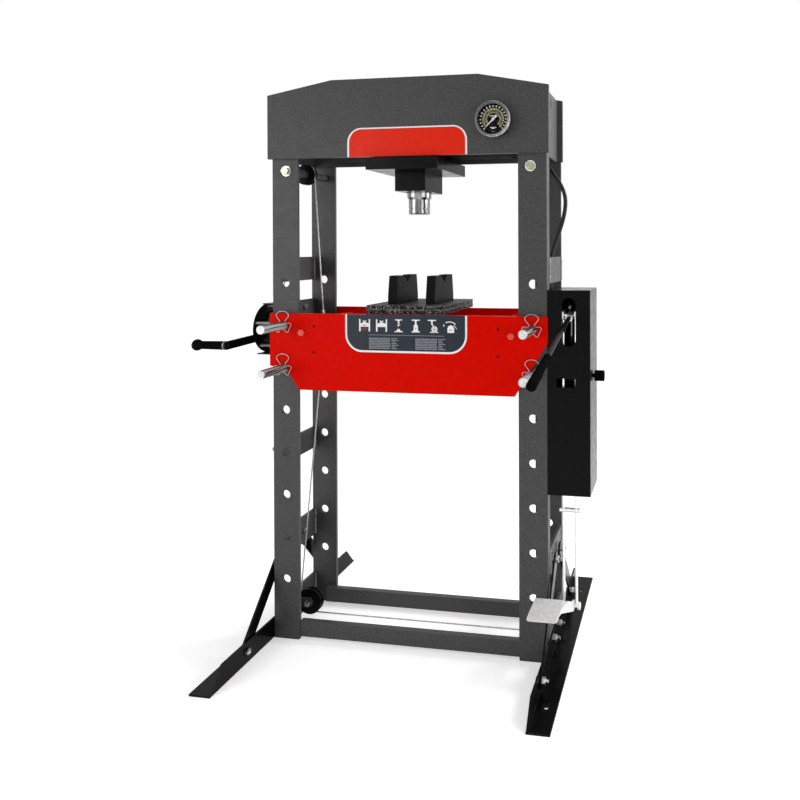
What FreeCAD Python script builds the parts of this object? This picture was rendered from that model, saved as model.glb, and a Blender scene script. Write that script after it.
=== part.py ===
"""Workshop press with an H-shaped frame, a height-adjustable table and a hand and foot pump.

Millimetres, +Z up, +X to the right of someone standing in front, who looks along +Y.
The origin is on the floor, midway between the two sides and between the front and rear uprights.
"""
import FreeCAD, Part
import math
import os

V = FreeCAD.Vector

# ---------------------------------------------------------------- frame
GAP_WIDTH = 744.0             # clear width between the left and right uprights
UPRIGHT_WIDTH = 92.0
UPRIGHT_WALL = 10.0
FLANGE_DEPTH = 35.0           # outer flange of a front upright
FRAME_DEPTH = 235.0           # front face of the front uprights to front face of the rear ones
UPRIGHT_TOP = 1780.0
PIN_HOLE_PITCH = 140.0
FIRST_HOLE_Z = 197.0
HOLE_COUNT = 8
HALF_GAP = GAP_WIDTH / 2
OUTER_X = HALF_GAP + UPRIGHT_WIDTH
FRONT_Y = -FRAME_DEPTH / 2

SPACER_THICKNESS = 10.0
SPACER_BANDS = [(0.0, 104.0), (244.0, 337.0), (562.0, 638.0), (1177.0, 1260.0)]
PUMP_MOUNT_BAND = (700.0, 1100.0)
WINCH_MOUNT_BAND = (925.0, 1108.0)

RAIL_HEIGHT = 50.0
RAIL_THICKNESS = 20.0
RAIL_WALL = 4.0
RAIL_Z = 10.0

# ---------------------------------------------------------------- top beam
BEAM_BOTTOM = 1584.0
BEAM_HEIGHT = 251.0
BEAM_SHOULDER = 42.0          # drop of the beam's corners below its top edge
BEAM_PROUD = 8.0              # how far the beam passes the uprights on each side
BEAM_WIDTH = 2 * (OUTER_X + BEAM_PROUD)
BEAM_TOP_WIDTH = 492.0
BEAM_WALL = 12.0
BEAM_END_WALL = 10.0
BEAM_RAIL = (20.0, 12.0)      # section of the rails that the cylinder head hangs on
BEAM_RAIL_Z = 1600.0
BEAM_RAIL_HALF = 300.0

# ---------------------------------------------------------------- feet and braces
FOOT_LENGTH = 837.0
FOOT_HEIGHT = 65.0
FOOT_WIDTH = 67.0
FOOT_WALL = 6.0
FOOT_SLANT = 54.0             # how far the upright leg of the foot is cut back at its top
ANCHOR_Y = 318.0
ANCHOR_INSET = 36.0           # anchor holes out from the upright's outer face
ANCHOR_HOLE_R = 7.0
BRACE_WIDTH = 40.0
BRACE_WALL = 6.0
BRACE_FOOT_Y = 254.5
BRACE_FOOT_Z = 36.0
BRACE_TOP_Y = 39.5
BRACE_TOP_Z = 290.0
FOOT_BOLT_Y = 42.0
FOOT_BOLT_Z = 36.0
BOLT_END = 10.0               # how far the foot and brace bolts pass their nuts
STUB = (-100.0, 620.0, 6.0, 11.0)             # Y, Z, radius and length of the stub on the left side

# ---------------------------------------------------------------- fits
FACE_GAP = 0.5                # table plates beside the uprights
HOLE_CLEARANCE = 0.5          # around pins and bolts
RUN_CLEARANCE = 0.05          # around running shafts
PIECE_GAP = 0.3               # between pieces that pass without touching

# ---------------------------------------------------------------- fasteners (shank r, across flats, head)
M16 = (8.0, 24.0, 10.0)
M12 = (6.0, 19.0, 8.0)
M10 = (5.0, 17.0, 6.5)
WASHER_WALL = 2.5

# ---------------------------------------------------------------- table
TABLE_TOP = 1077.5
TABLE_HEIGHT = 249.5
TABLE_PROUD = 2.0             # how far the table passes the uprights on each side
TABLE_WIDTH = 2 * (OUTER_X + TABLE_PROUD)
TABLE_WALL = 12.0
TABLE_FOOT_WIDTH = 724.0
TABLE_SHOULDER = 81.5         # straight part of the right-hand end, from the top
TABLE_TAIL = 172.5            # straight part of the left-hand end, from the top
TABLE_TAIL_WIDTH = 61.0
TABLE_BOLT_X = HALF_GAP - 20.0
TABLE_BOLT_Z = 1015.5
TABLE_TUBE_R = 15.0
TABLE_WEB_X = HALF_GAP - 62.0
TABLE_WEB_WALL = 10.0
TABLE_WEB_BAND = (905.0, 1060.0)
PLUG_HOLES_Z = (951.0, 1036.0)
PLUG_HOLE_R = 4.5

PIN_R = 14.0
PIN_FRONT = 132.0             # how far a pin stands out of the front uprights
PIN_REAR = 15.0               # how far it passes the table's rear plate
PIN_ROWS = (5, 6)             # the upright holes in use, counted from the bottom
CLIP_WIRE_R = 1.2
CLIP_REACH = 14.5             # centre of a clip's wire from the pin's axis where it sits in the groove
CLIP_OUT = 4.0                # clips and pin grooves in front of the table
CLIP_GROOVE = 4.0
CLIP_HALF = [(0, 48), (13, 46), (24.5, 34.5), (6.84, 12.92), (13.87, 8.08), (34, 9), (17, -25.5),
             (7.15, -12.9), (2.9, -14.35)]    # right half of the wire's route round the pin, from the top

ARBOR_SIZE = (263.0, 295.0, 14.3)
ARBOR_X = -2.5                # middle of the arbor plates
ARBOR_FRONT = -118.0
VEE_THICKNESS = 31.0
VEE_LENGTH = 178.0
VEE_HEIGHT = 93.0
VEE_TOP = 156.0
VEE_FRONT = -72.0
VEE_GROOVE = (58.0, 24.0)     # width and depth of the groove
VEE_X = 65.5

# ---------------------------------------------------------------- cylinder head
SADDLE_WIDTH = 240.0
SADDLE_BAND = (1541.0, 1579.0)
SADDLE_FRONT = -147.5
SADDLE_REAR = 120.0
CYLINDER_R = 65.0
CYLINDER_NECK_R = 46.0
CYLINDER_TOP = 1826.0
HANGER_SIZE = (200.0, 20.0)
STUD_SPACING = (82.0, 60.0)
STUD_DEPTH = 28.0             # thread of the studs in the saddle
GUARD_SIZE = (104.0, 155.0, 64.0)
GUARD_WALL = 3.0
RAM_R = 40.0
RAM_TIP_R = 35.0
RAM_TIP_BAND = (1403.0, 1452.0)
RAM_TAPER = 8.0
RAM_TOP = 1806.0

# ---------------------------------------------------------------- plates and gauge on the beam
HEAD_PANEL = (-190.0, 212.0, 1584.0, 1677.0)
HEAD_PANEL_CORNER = 47.0
TABLE_PANEL = (-199.0, 210.0, 956.0, 1077.5)
TABLE_PANEL_CORNER = 58.0
PANEL_WALL = 0.8
GAUGE_X = 302.0
GAUGE_Z = 1687.0
GAUGE_R = 55.0
GAUGE_DIAL_R = 46.0
GAUGE_DEPTH = 32.0
GAUGE_STEM_R = 9.0
POINTER_LENGTH = 36.0
POINTER_REST = 225.0          # degrees, where the pointer rests

# ---------------------------------------------------------------- pulleys and wire ropes
ROPE_R = 2.5
UPPER_PULLEY = (HALF_GAP + 40.0, 1545.0, 35.0, 28.0)    # X, Z, rim radius, groove radius
LOWER_PULLEY = (HALF_GAP + 31.0, 66.0, 44.0, 36.0)
PULLEY_WIDTH = 20.0
GROOVE_HALF = 4.5
UPPER_SLEEVE_R = 13.0
LOWER_CHEEK_GAP = 24.0
LOWER_CHEEK_WALL = 6.0
EYE_R = 21.0
EYE_WIDTH = 14.0
EYE_STEM_R = 6.0
EYE_STEM_DEPTH = 7.0          # how far a rope's end goes into its stem

# ---------------------------------------------------------------- winch
WINCH_Y = 1.0
WINCH_Z = 1014.5
WINCH_DISC_R = 85.0
WINCH_SPAN = 60.0             # between the outer faces of its two discs
WINCH_STAND = 36.0            # inner disc out from the left uprights
WINCH_INNER_X = -(OUTER_X + WINCH_STAND)
WINCH_OUTER_X = WINCH_INNER_X - WINCH_SPAN
WINCH_WALL = 4.0
WINCH_BASE_WALL = 6.0
GEAR_MODULE = 3.0
DRUM_TEETH = 34
PINION_TEETH = 12
PRESSURE_ANGLE = 25.0
BACKLASH = 0.4
GEAR_WIDTH = 8.0
DRUM_CORE_R = 24.0
DRUM_Z = 1017.0
PINION_Z = 984.0
DRUM_SHAFT_R = 8.0
CRANK_SHAFT_R = 7.0
CRANK_REACH = 173.0
CRANK_DROP = 5.0
CRANK_WIDTH = 27.0
CRANK_WALL = 6.0
GRIP_R = 14.0
GRIP_LENGTH = 108.0

# ---------------------------------------------------------------- pump
BOX_WIDTH = 134.0
BOX_DEPTH = 158.0
BOX_BAND = (524.0, 1159.0)
BOX_WALL = 3.0
LEVER_X = OUTER_X + BOX_WIDTH / 2
LEVER_PIVOT_Y = FRONT_Y + 100.0
LEVER_PIVOT_Z = 1098.0
LEVER_TILT = 11.5             # degrees below level at rest
LEVER_R = 7.5
LEVER_OFFSET = 3.0            # the lever stands this far to the right of its eye's middle
LEVER_END = 640.0             # pivot to the end of the grip
LEVER_GRIP_LENGTH = 195.0
LEVER_GRIP_R = (10.0, 13.0)    # at its start and at its free end
SOCKET_R = 11.0
SOCKET_LENGTH = 118.0
SLOT_WIDTH = 44.0
SLOT_BAND = (985.0, 1136.0)
WINDOW = (LEVER_X - 39.0, LEVER_X + 20.0, 858.0, 886.0)
STIRRUP_ARM = 85.0            # pivot to the pin that carries the stirrup
STIRRUP_R = 4.5
STIRRUP_SPACING = 40.0
STIRRUP_BOTTOM = 178.0
STIRRUP_SLEEVE_Z = 475.0
PEDAL_X = (LEVER_X - 99.0, LEVER_X - 9.0)
PEDAL_Y = (FRONT_Y - 160.0, FRONT_Y - 40.5)
PEDAL_Z = 219.0
PEDAL_WALL = 4.0
PEDAL_CORNER = 10.0
PEDAL_ARM_WALL = 6.0
PLUNGER_ARM = 40.0
PLUNGER_R = 9.0
PUMP_BLOCK = (OUTER_X + 10.0, OUTER_X + BOX_WIDTH - 10.0, FRONT_Y + 57.5,
              FRONT_Y + BOX_DEPTH - BOX_WALL - 0.5, 760.0, 1040.0)
KNOB_Y = FRONT_Y + 75.5
KNOB_Z = 884.0
KNOB_R = 17.0
KNOB_LENGTH = 30.0

# ---------------------------------------------------------------- hoses
HOSE_R = 7.0
GAUGE_HOSE_R = 4.0
HOSE_POINTS = [(100, 0, 1690), (210, 0, 1690), (335, 35, 1660), (412, 57, 1602), (440, 57, 1552),
               (492, 57, 1478), (490, 57, 1405), (462, 54, 1320), (444.5, 46, 1268), (444.5, 33, 1222),
               (444.5, 25, 1182), (444.5, 25, 1146)]
PIPE_R = 5.0
PIPE_POINTS = [(444.5, 25, 1134), (444.5, 25, 1110), (PUMP_BLOCK[0] + 6, 25, 1110),
               (PUMP_BLOCK[0] + 6, 25, PUMP_BLOCK[5])]
FERRULE_BAND = (1134.0, 1152.0)
GAUGE_HOSE_POINTS = [(95, -40, 1730), (165, -40, 1730), (235, -45, 1715), (290, -60, 1695),
                     (302, -97, 1687)]
LIFT_ROPE_POINTS = [(-520, 0, 1017), (-438.6, 0, 1575.8), (-383.0, 0, 1575.8), (-352, 0, 1070)]
LEVEL_ROPE_POINTS = [(-352, 0, 961), (-445.9, 0, 27.2), (441.8, 0, 27.2), (442.8, 0, 1575.8),
                     (383.0, 0, 1575.8), (352, 0, 1070)]

# ---------------------------------------------------------------- worked out from the above
HOLE_X = HALF_GAP + UPRIGHT_WIDTH / 2
REAR_Y = FRAME_DEPTH / 2
REAR_BACK_Y = REAR_Y + UPRIGHT_WALL
PIN_HOLE_R = PIN_R + HOLE_CLEARANCE
SPACER_IN_X = OUTER_X - SPACER_THICKNESS
SPACER_Y = (FRONT_Y + FLANGE_DEPTH, REAR_Y)
BEAM_FRONT_Y = FRONT_Y - BEAM_WALL
BEAM_IN_Y = (FRONT_Y, REAR_Y - BEAM_WALL)
BEAM_TOP = BEAM_BOTTOM + BEAM_HEIGHT
TABLE_FRONT_Y = FRONT_Y - FACE_GAP
TABLE_REAR_Y = REAR_BACK_Y + FACE_GAP
TABLE_BOTTOM = TABLE_TOP - TABLE_HEIGHT
CLIP_Y = TABLE_FRONT_Y - TABLE_WALL - CLIP_OUT
BRACE_OUT_X = OUTER_X + FOOT_WALL
BOX_X = (OUTER_X, OUTER_X + BOX_WIDTH)
BOX_Y = (FRONT_Y, FRONT_Y + BOX_DEPTH)
DRUM_COIL_R = DRUM_CORE_R + 2 * ROPE_R
DRUM_Y = DRUM_COIL_R + PIECE_GAP + ROPE_R
GEAR_CENTRES = GEAR_MODULE * (DRUM_TEETH + PINION_TEETH) / 2
PINION_Y = DRUM_Y - math.sqrt(GEAR_CENTRES ** 2 - (DRUM_Z - PINION_Z) ** 2)
LEVER_DROP = math.radians(LEVER_TILT)
STIRRUP_Y = LEVER_PIVOT_Y - STIRRUP_ARM * math.cos(LEVER_DROP)
STIRRUP_TOP = LEVER_PIVOT_Z - STIRRUP_ARM * math.sin(LEVER_DROP)
SIDES = (-1, 1)


# ---------------------------------------------------------------- building blocks
def box(x, y, z):
    """A block between the pairs of limits x, y and z."""
    low = V(min(x), min(y), min(z))
    return Part.makeBox(abs(x[1] - x[0]), abs(y[1] - y[0]), abs(z[1] - z[0]), low)


def rod(start, end, radius):
    """A round bar between two points."""
    a, b = V(*start), V(*end)
    return Part.makeCylinder(radius, (b - a).Length, a, b - a)


def tube(start, end, outer, inner):
    return rod(start, end, outer).cut(rod(start, end, inner))


def face(points):
    """A flat face inside a closed line of points."""
    corners = [V(*p) for p in points]
    return Part.Face(Part.makePolygon(corners + corners[:1]))


def plate_y(outline, y, wall):
    """A plate upright in XZ, from y to y + wall."""
    return face([(x, y, z) for x, z in outline]).extrude(V(0, wall, 0))


def plate_x(outline, x, wall):
    """A plate upright in YZ, from x to x + wall."""
    return face([(x, y, z) for y, z in outline]).extrude(V(wall, 0, 0))


def hexagon(centre, axis, across, height):
    """A hexagonal prism that stands on centre along the unit vector axis."""
    a = V(*axis)
    side = V(0, 0, 1) if abs(a.z) < 0.5 else V(1, 0, 0)
    other = a.cross(side)
    radius = across / math.sqrt(3)
    ring = []
    for k in range(6):
        angle = math.radians(60 * k + 30)
        ring.append(V(*centre) + side * (radius * math.cos(angle)) + other * (radius * math.sin(angle)))
    solid = Part.Face(Part.makePolygon(ring + ring[:1])).extrude(a * height)
    cone = Part.makeCone(radius + height, radius * 0.86, height + radius * 0.14, V(*centre), a)
    return solid.common(cone)


def along(point, axis, distance):
    return tuple(p + a * distance for p, a in zip(point, axis))


def bolt(head_at, axis, size, length):
    """A hexagon bolt: its head sits on head_at and its shank runs length along axis."""
    radius, across, height = size
    back = tuple(-a for a in axis)
    shank = rod(head_at, along(head_at, axis, length), radius)
    return hexagon(head_at, back, across, height).fuse(shank)


def nut(at, axis, size):
    """A nut that sits on at and thickens along axis, with the shank's bore."""
    radius, across, height = size
    body = hexagon(at, axis, across, height)
    return body.cut(rod(along(at, axis, -1), along(at, axis, height + 1), radius))


def washer(at, axis, radius, outer, wall=WASHER_WALL):
    return tube(at, along(at, axis, wall), outer, radius)


def arc_through(corner, before, after, radius):
    """Ends and middle of the arc that rounds a corner of a route."""
    a = (before - corner).normalize()
    b = (after - corner).normalize()
    half = a.getAngle(b) / 2
    reach = radius / math.tan(half)
    middle = (a + b).normalize()
    centre = corner + middle * (radius / math.sin(half))
    return corner + a * reach, centre - middle * radius, corner + b * reach


def cord(name, points, radius, bends=None):
    """A round cord along straight runs joined by tangent arcs; bends gives a corner its own radius."""
    p = [V(*q) for q in points]
    bends = bends or {}
    edges = []
    here = p[0]
    radii = []
    for i in range(1, len(p) - 1):
        before, after = p[i - 1] - p[i], p[i + 1] - p[i]
        turn = math.pi - before.getAngle(after)
        own = 0.45 * min(before.Length, after.Length) / math.tan(turn / 2)
        bend = bends.get(i, own)
        start, middle, end = arc_through(p[i], p[i - 1], p[i + 1], bend)
        edges.append(Part.LineSegment(here, start).toShape())
        edges.append(Part.Arc(start, middle, end).toShape())
        here = end
        radii.append(round(bend, 1))
    edges.append(Part.LineSegment(here, p[-1]).toShape())
    path = Part.Wire(edges)
    ring = Part.Wire(Part.makeCircle(radius, p[0], p[1] - p[0]))
    solid = path.makePipeShell([ring], True, False)
    ratio = solid.Volume / (math.pi * radius ** 2 * path.Length)
    print(name, "length", round(path.Length, 1), "volume ratio", round(ratio, 4), "bend radii", radii)
    return solid


def mirror_x(shape):
    return shape.mirror(V(0, 0, 0), V(1, 0, 0))


def mirror_y(shape):
    return shape.mirror(V(0, 0, 0), V(0, 1, 0))


def rounded_top(outline_box, corner, at_top):
    """A panel outline whose two upper or lower corners are round."""
    x0, x1, z0, z1 = outline_box
    if at_top:
        z0, z1 = z1, z0
    sign = 1 if z0 < z1 else -1
    k = corner * (1 - math.sqrt(0.5))
    a = [V(x0, 0, z1), V(x1, 0, z1), V(x1, 0, z0 + sign * corner), V(x1 - k, 0, z0 + sign * k),
         V(x1 - corner, 0, z0), V(x0 + corner, 0, z0), V(x0 + k, 0, z0 + sign * k), V(x0, 0, z0 + sign * corner)]
    edges = [Part.LineSegment(a[0], a[1]), Part.LineSegment(a[1], a[2]), Part.Arc(a[2], a[3], a[4]),
             Part.LineSegment(a[4], a[5]), Part.Arc(a[5], a[6], a[7]), Part.LineSegment(a[7], a[0])]
    return Part.Face(Part.Wire([e.toShape() for e in edges]))


# ---------------------------------------------------------------- frame
def upright_holes(side, y, wall):
    cuts = []
    for i in range(HOLE_COUNT):
        z = FIRST_HOLE_Z + i * PIN_HOLE_PITCH
        cuts.append(rod((side * HOLE_X, y - 1, z), (side * HOLE_X, y + wall + 1, z), PIN_HOLE_R))
    z = UPPER_PULLEY[1]
    x = side * UPPER_PULLEY[0]
    cuts.append(rod((x, y - 1, z), (x, y + wall + 1, z), M16[0] + HOLE_CLEARANCE))
    return cuts


def front_upright(side):
    """A folded upright: a holed face and an outer flange that points to the rear."""
    inner, outer = side * HALF_GAP, side * OUTER_X
    web = box((inner, outer), (FRONT_Y, FRONT_Y + UPRIGHT_WALL), (0, UPRIGHT_TOP))
    flange = box((outer - side * UPRIGHT_WALL, outer), (FRONT_Y, FRONT_Y + FLANGE_DEPTH), (0, UPRIGHT_TOP))
    body = web.fuse(flange).removeSplitter()
    fold = [e for e in body.Edges if abs(e.Length - UPRIGHT_TOP) < 1e-3
            and abs(e.CenterOfMass.x - outer) < 1e-3 and abs(e.CenterOfMass.y - FRONT_Y) < 1e-3]
    foot = [e for e in body.Edges if abs(e.Length - UPRIGHT_WALL) < 1e-3
            and abs(e.CenterOfMass.x - inner) < 1e-3 and e.CenterOfMass.z < 1]
    body = body.makeFillet(UPRIGHT_WALL * 0.4, fold + foot)
    for hole in upright_holes(side, FRONT_Y, UPRIGHT_WALL):
        body = body.cut(hole)
    return body


def rear_upright(side):
    inner, outer = side * HALF_GAP, side * OUTER_X
    body = box((inner, outer), (REAR_Y, REAR_BACK_Y), (0, UPRIGHT_TOP))
    for hole in upright_holes(side, REAR_Y, UPRIGHT_WALL):
        body = body.cut(hole)
    return body


def side_spacer(side, band):
    body = box((side * SPACER_IN_X, side * OUTER_X), SPACER_Y, band)
    if band == SPACER_BANDS[0]:
        for y in (-FOOT_BOLT_Y, FOOT_BOLT_Y):
            body = body.cut(rod((side * (SPACER_IN_X - 1), y, FOOT_BOLT_Z), (side * (OUTER_X + 1), y, FOOT_BOLT_Z),
                                M12[0] + HOLE_CLEARANCE))
    if band == SPACER_BANDS[1]:
        for y in (-BRACE_TOP_Y, BRACE_TOP_Y):
            body = body.cut(rod((side * (SPACER_IN_X - 1), y, BRACE_TOP_Z), (side * (OUTER_X + 1), y, BRACE_TOP_Z),
                                M12[0] + HOLE_CLEARANCE))
    return body


def lower_rail(front):
    """A flat tube between the sides: the front one between the uprights, the rear one against them."""
    if front:
        y = (FRONT_Y + 3, FRONT_Y + 3 + RAIL_THICKNESS)
        half = HALF_GAP
    else:
        y = (REAR_Y - RAIL_THICKNESS, REAR_Y)
        half = HALF_GAP + 30
    z = (RAIL_Z, RAIL_Z + RAIL_HEIGHT)
    hollow = box((-half - 1, half + 1), (y[0] + RAIL_WALL, y[1] - RAIL_WALL), (z[0] + RAIL_WALL, z[1] - RAIL_WALL))
    return box((-half, half), y, z).cut(hollow)


# ---------------------------------------------------------------- beam
def beam_outline():
    half, top_half, shoulder = BEAM_WIDTH / 2, BEAM_TOP_WIDTH / 2, BEAM_TOP - BEAM_SHOULDER
    return [(-half, BEAM_BOTTOM), (half, BEAM_BOTTOM), (half, shoulder), (top_half, BEAM_TOP),
            (-top_half, BEAM_TOP), (-half, shoulder)]


def beam_front_plate():
    body = plate_y(beam_outline(), BEAM_FRONT_Y, BEAM_WALL)
    return body.cut(rod((GAUGE_X, BEAM_FRONT_Y - 1, GAUGE_Z), (GAUGE_X, FRONT_Y + 1, GAUGE_Z),
                        GAUGE_STEM_R + HOLE_CLEARANCE))


def beam_rear_plate():
    return plate_y(beam_outline(), BEAM_IN_Y[1], BEAM_WALL)


def beam_end_plate(side):
    """Closes the beam's end inside the upright's flange, with a slot near its top."""
    x = (side * (SPACER_IN_X - BEAM_END_WALL), side * SPACER_IN_X)
    body = box(x, (FRONT_Y + UPRIGHT_WALL, BEAM_IN_Y[1]), (BEAM_BOTTOM, BEAM_TOP - BEAM_SHOULDER))
    return body.cut(box(x, (-4, 4), (BEAM_TOP - BEAM_SHOULDER - 46, BEAM_TOP - BEAM_SHOULDER - 18)))


def beam_rails():
    depth, height = BEAM_RAIL
    z = (BEAM_RAIL_Z, BEAM_RAIL_Z + height)
    x = (-BEAM_RAIL_HALF, BEAM_RAIL_HALF)
    front = box(x, (BEAM_IN_Y[0], BEAM_IN_Y[0] + depth), z)
    rear = box(x, (BEAM_IN_Y[1] - depth, BEAM_IN_Y[1]), z)
    return [front, rear]


def tie_bolts():
    x, z = UPPER_PULLEY[:2]
    start = FRONT_Y - WASHER_WALL
    length = FRAME_DEPTH + UPRIGHT_WALL + 2 * WASHER_WALL + M16[2] + 4
    return [bolt((s * x, start, z), (0, 1, 0), M16, length) for s in SIDES]


def tie_nuts():
    x, z = UPPER_PULLEY[:2]
    return [nut((s * x, REAR_BACK_Y + WASHER_WALL, z), (0, 1, 0), M16) for s in SIDES]


def tie_washers():
    x, z = UPPER_PULLEY[:2]
    front = [washer((s * x, FRONT_Y - WASHER_WALL, z), (0, 1, 0), M16[0], 17) for s in SIDES]
    rear = [washer((s * x, REAR_BACK_Y, z), (0, 1, 0), M16[0], 17) for s in SIDES]
    return front + rear


def tie_sleeves():
    """Tubes on the tie bolts that keep each upper pulley midway."""
    x, z = UPPER_PULLEY[:2]
    half = PULLEY_WIDTH / 2 + PIECE_GAP
    out = []
    for s in SIDES:
        out.append(tube((s * x, FRONT_Y + UPRIGHT_WALL, z), (s * x, -half, z), UPPER_SLEEVE_R, M16[0]))
        out.append(tube((s * x, half, z), (s * x, REAR_Y, z), UPPER_SLEEVE_R, M16[0]))
    return out


# ---------------------------------------------------------------- feet and braces
def foot(side):
    """An angle bar: an upright leg with slanted ends against the uprights and a flange on the floor."""
    half = FOOT_LENGTH / 2
    x0 = OUTER_X
    leg = plate_x([(-half, 0), (half, 0), (half - FOOT_SLANT, FOOT_HEIGHT), (-half + FOOT_SLANT, FOOT_HEIGHT)],
                  x0, FOOT_WALL)
    flange = box((x0, x0 + FOOT_WIDTH), (-half, half), (0, FOOT_WALL))
    body = leg.fuse(flange).removeSplitter()
    for y in (-ANCHOR_Y, ANCHOR_Y):
        body = body.cut(rod((x0 + ANCHOR_INSET, y, -1), (x0 + ANCHOR_INSET, y, FOOT_WALL + 1), ANCHOR_HOLE_R))
    for y, z in ((-BRACE_FOOT_Y, BRACE_FOOT_Z), (BRACE_FOOT_Y, BRACE_FOOT_Z), (-FOOT_BOLT_Y, FOOT_BOLT_Z),
                 (FOOT_BOLT_Y, FOOT_BOLT_Z)):
        body = body.cut(rod((x0 - 1, y, z), (x0 + FOOT_WALL + 1, y, z), M12[0] + HOLE_CLEARANCE))
    return body if side > 0 else mirror_x(body)


def brace(side, front):
    """A flat bar with round ends from the foot up to the spacer between the uprights."""
    low = V(0, -BRACE_FOOT_Y, BRACE_FOOT_Z)
    high = V(0, -BRACE_TOP_Y, BRACE_TOP_Z)
    run = high - low
    half = BRACE_WIDTH / 2
    bar = Part.makeBox(BRACE_WALL, BRACE_WIDTH, run.Length, V(0, -half, 0))
    for z in (0, run.Length):
        bar = bar.fuse(Part.makeCylinder(half, BRACE_WALL, V(0, 0, z), V(1, 0, 0)))
    for z in (0, run.Length):
        bar = bar.cut(Part.makeCylinder(M12[0] + HOLE_CLEARANCE, BRACE_WALL + 2, V(-1, 0, z), V(1, 0, 0)))
    bar = bar.removeSplitter()
    bar.rotate(V(0, 0, 0), V(1, 0, 0), -math.degrees(math.atan2(run.y, run.z)))
    bar.translate(low + V(BRACE_OUT_X, 0, 0))
    if not front:
        bar = mirror_y(bar)
    return bar if side > 0 else mirror_x(bar)


def brace_points():
    return [(s, y, z) for s in SIDES for y, z in ((-BRACE_FOOT_Y, BRACE_FOOT_Z), (BRACE_FOOT_Y, BRACE_FOOT_Z),
                                                  (-BRACE_TOP_Y, BRACE_TOP_Z), (BRACE_TOP_Y, BRACE_TOP_Z))]


def brace_bolts():
    """Bolts through the ends of the braces, from inside, with long ends past their nuts."""
    out = []
    for s, y, z in brace_points():
        inner = SPACER_IN_X if z == BRACE_TOP_Z else OUTER_X
        length = BRACE_OUT_X + BRACE_WALL - inner + M12[2] + BOLT_END
        out.append(bolt((s * inner, y, z), (s, 0, 0), M12, length))
    return out


def brace_nuts():
    return [nut((s * (BRACE_OUT_X + BRACE_WALL), y, z), (s, 0, 0), M12) for s, y, z in brace_points()]


def brace_packers():
    """Rings that fill the step between the spacer and the top of each brace."""
    return [washer((s * OUTER_X, y, BRACE_TOP_Z), (s, 0, 0), M12[0], 15, FOOT_WALL)
            for s in SIDES for y in (-BRACE_TOP_Y, BRACE_TOP_Y)]


def foot_places():
    return [(s, y) for s in SIDES for y in (-FOOT_BOLT_Y, FOOT_BOLT_Y)]


def foot_bolts():
    length = SPACER_THICKNESS + FOOT_WALL + M12[2] + BOLT_END
    return [bolt((s * SPACER_IN_X, y, FOOT_BOLT_Z), (s, 0, 0), M12, length) for s, y in foot_places()]


def foot_nuts():
    return [nut((s * (OUTER_X + FOOT_WALL), y, FOOT_BOLT_Z), (s, 0, 0), M12) for s, y in foot_places()]


def side_stub():
    """A short stud welded on the outer flange of the left upright."""
    y, z, radius, length = STUB
    return rod((-OUTER_X, y, z), (-OUTER_X - length, y, z), radius)


# ---------------------------------------------------------------- table
def table_plate(y):
    """A side plate of the table: one end is cut straight back, the other keeps metal round its pin."""
    half, foot_half = TABLE_WIDTH / 2, TABLE_FOOT_WIDTH / 2
    outline = [(-foot_half, TABLE_BOTTOM), (foot_half, TABLE_BOTTOM), (half, TABLE_TOP - TABLE_SHOULDER),
               (half, TABLE_TOP), (-half, TABLE_TOP), (-half, TABLE_TOP - TABLE_TAIL),
               (-half + TABLE_TAIL_WIDTH, TABLE_TOP - TABLE_TAIL - 14)]
    body = plate_y(outline, y, TABLE_WALL)
    for s in SIDES:
        for i in PIN_ROWS:
            z = FIRST_HOLE_Z + i * PIN_HOLE_PITCH
            body = body.cut(rod((s * HOLE_X, y - 1, z), (s * HOLE_X, y + TABLE_WALL + 1, z), PIN_HOLE_R))
        x = s * TABLE_BOLT_X
        body = body.cut(rod((x, y - 1, TABLE_BOLT_Z), (x, y + TABLE_WALL + 1, TABLE_BOLT_Z), M12[0] + HOLE_CLEARANCE))
    return body


def table_front_plate():
    y = TABLE_FRONT_Y - TABLE_WALL
    body = table_plate(y)
    for s in SIDES:
        for z in PLUG_HOLES_Z:
            body = body.cut(rod((s * TABLE_WEB_X, y - 1, z), (s * TABLE_WEB_X, y + TABLE_WALL + 1, z), PLUG_HOLE_R))
    return body


def table_web(side):
    half = TABLE_WEB_WALL / 2
    return box((side * TABLE_WEB_X - half, side * TABLE_WEB_X + half), (TABLE_FRONT_Y, TABLE_REAR_Y), TABLE_WEB_BAND)


def table_tubes():
    return [tube((s * TABLE_BOLT_X, TABLE_FRONT_Y, TABLE_BOLT_Z), (s * TABLE_BOLT_X, TABLE_REAR_Y, TABLE_BOLT_Z),
                 TABLE_TUBE_R, M12[0] + HOLE_CLEARANCE) for s in SIDES]


def table_bolts():
    start = TABLE_FRONT_Y - TABLE_WALL
    length = TABLE_REAR_Y + TABLE_WALL - start + M12[2] + 3
    return [bolt((s * TABLE_BOLT_X, start, TABLE_BOLT_Z), (0, 1, 0), M12, length) for s in SIDES]


def table_nuts():
    return [nut((s * TABLE_BOLT_X, TABLE_REAR_Y + TABLE_WALL, TABLE_BOLT_Z), (0, 1, 0), M12) for s in SIDES]


def pin_places():
    places = {}
    for side, word in ((-1, "left"), (1, "right")):
        for row, level in zip(PIN_ROWS, ("lower", "upper")):
            places[word + "_" + level] = (side * HOLE_X, FIRST_HOLE_Z + row * PIN_HOLE_PITCH)
    return places


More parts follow.
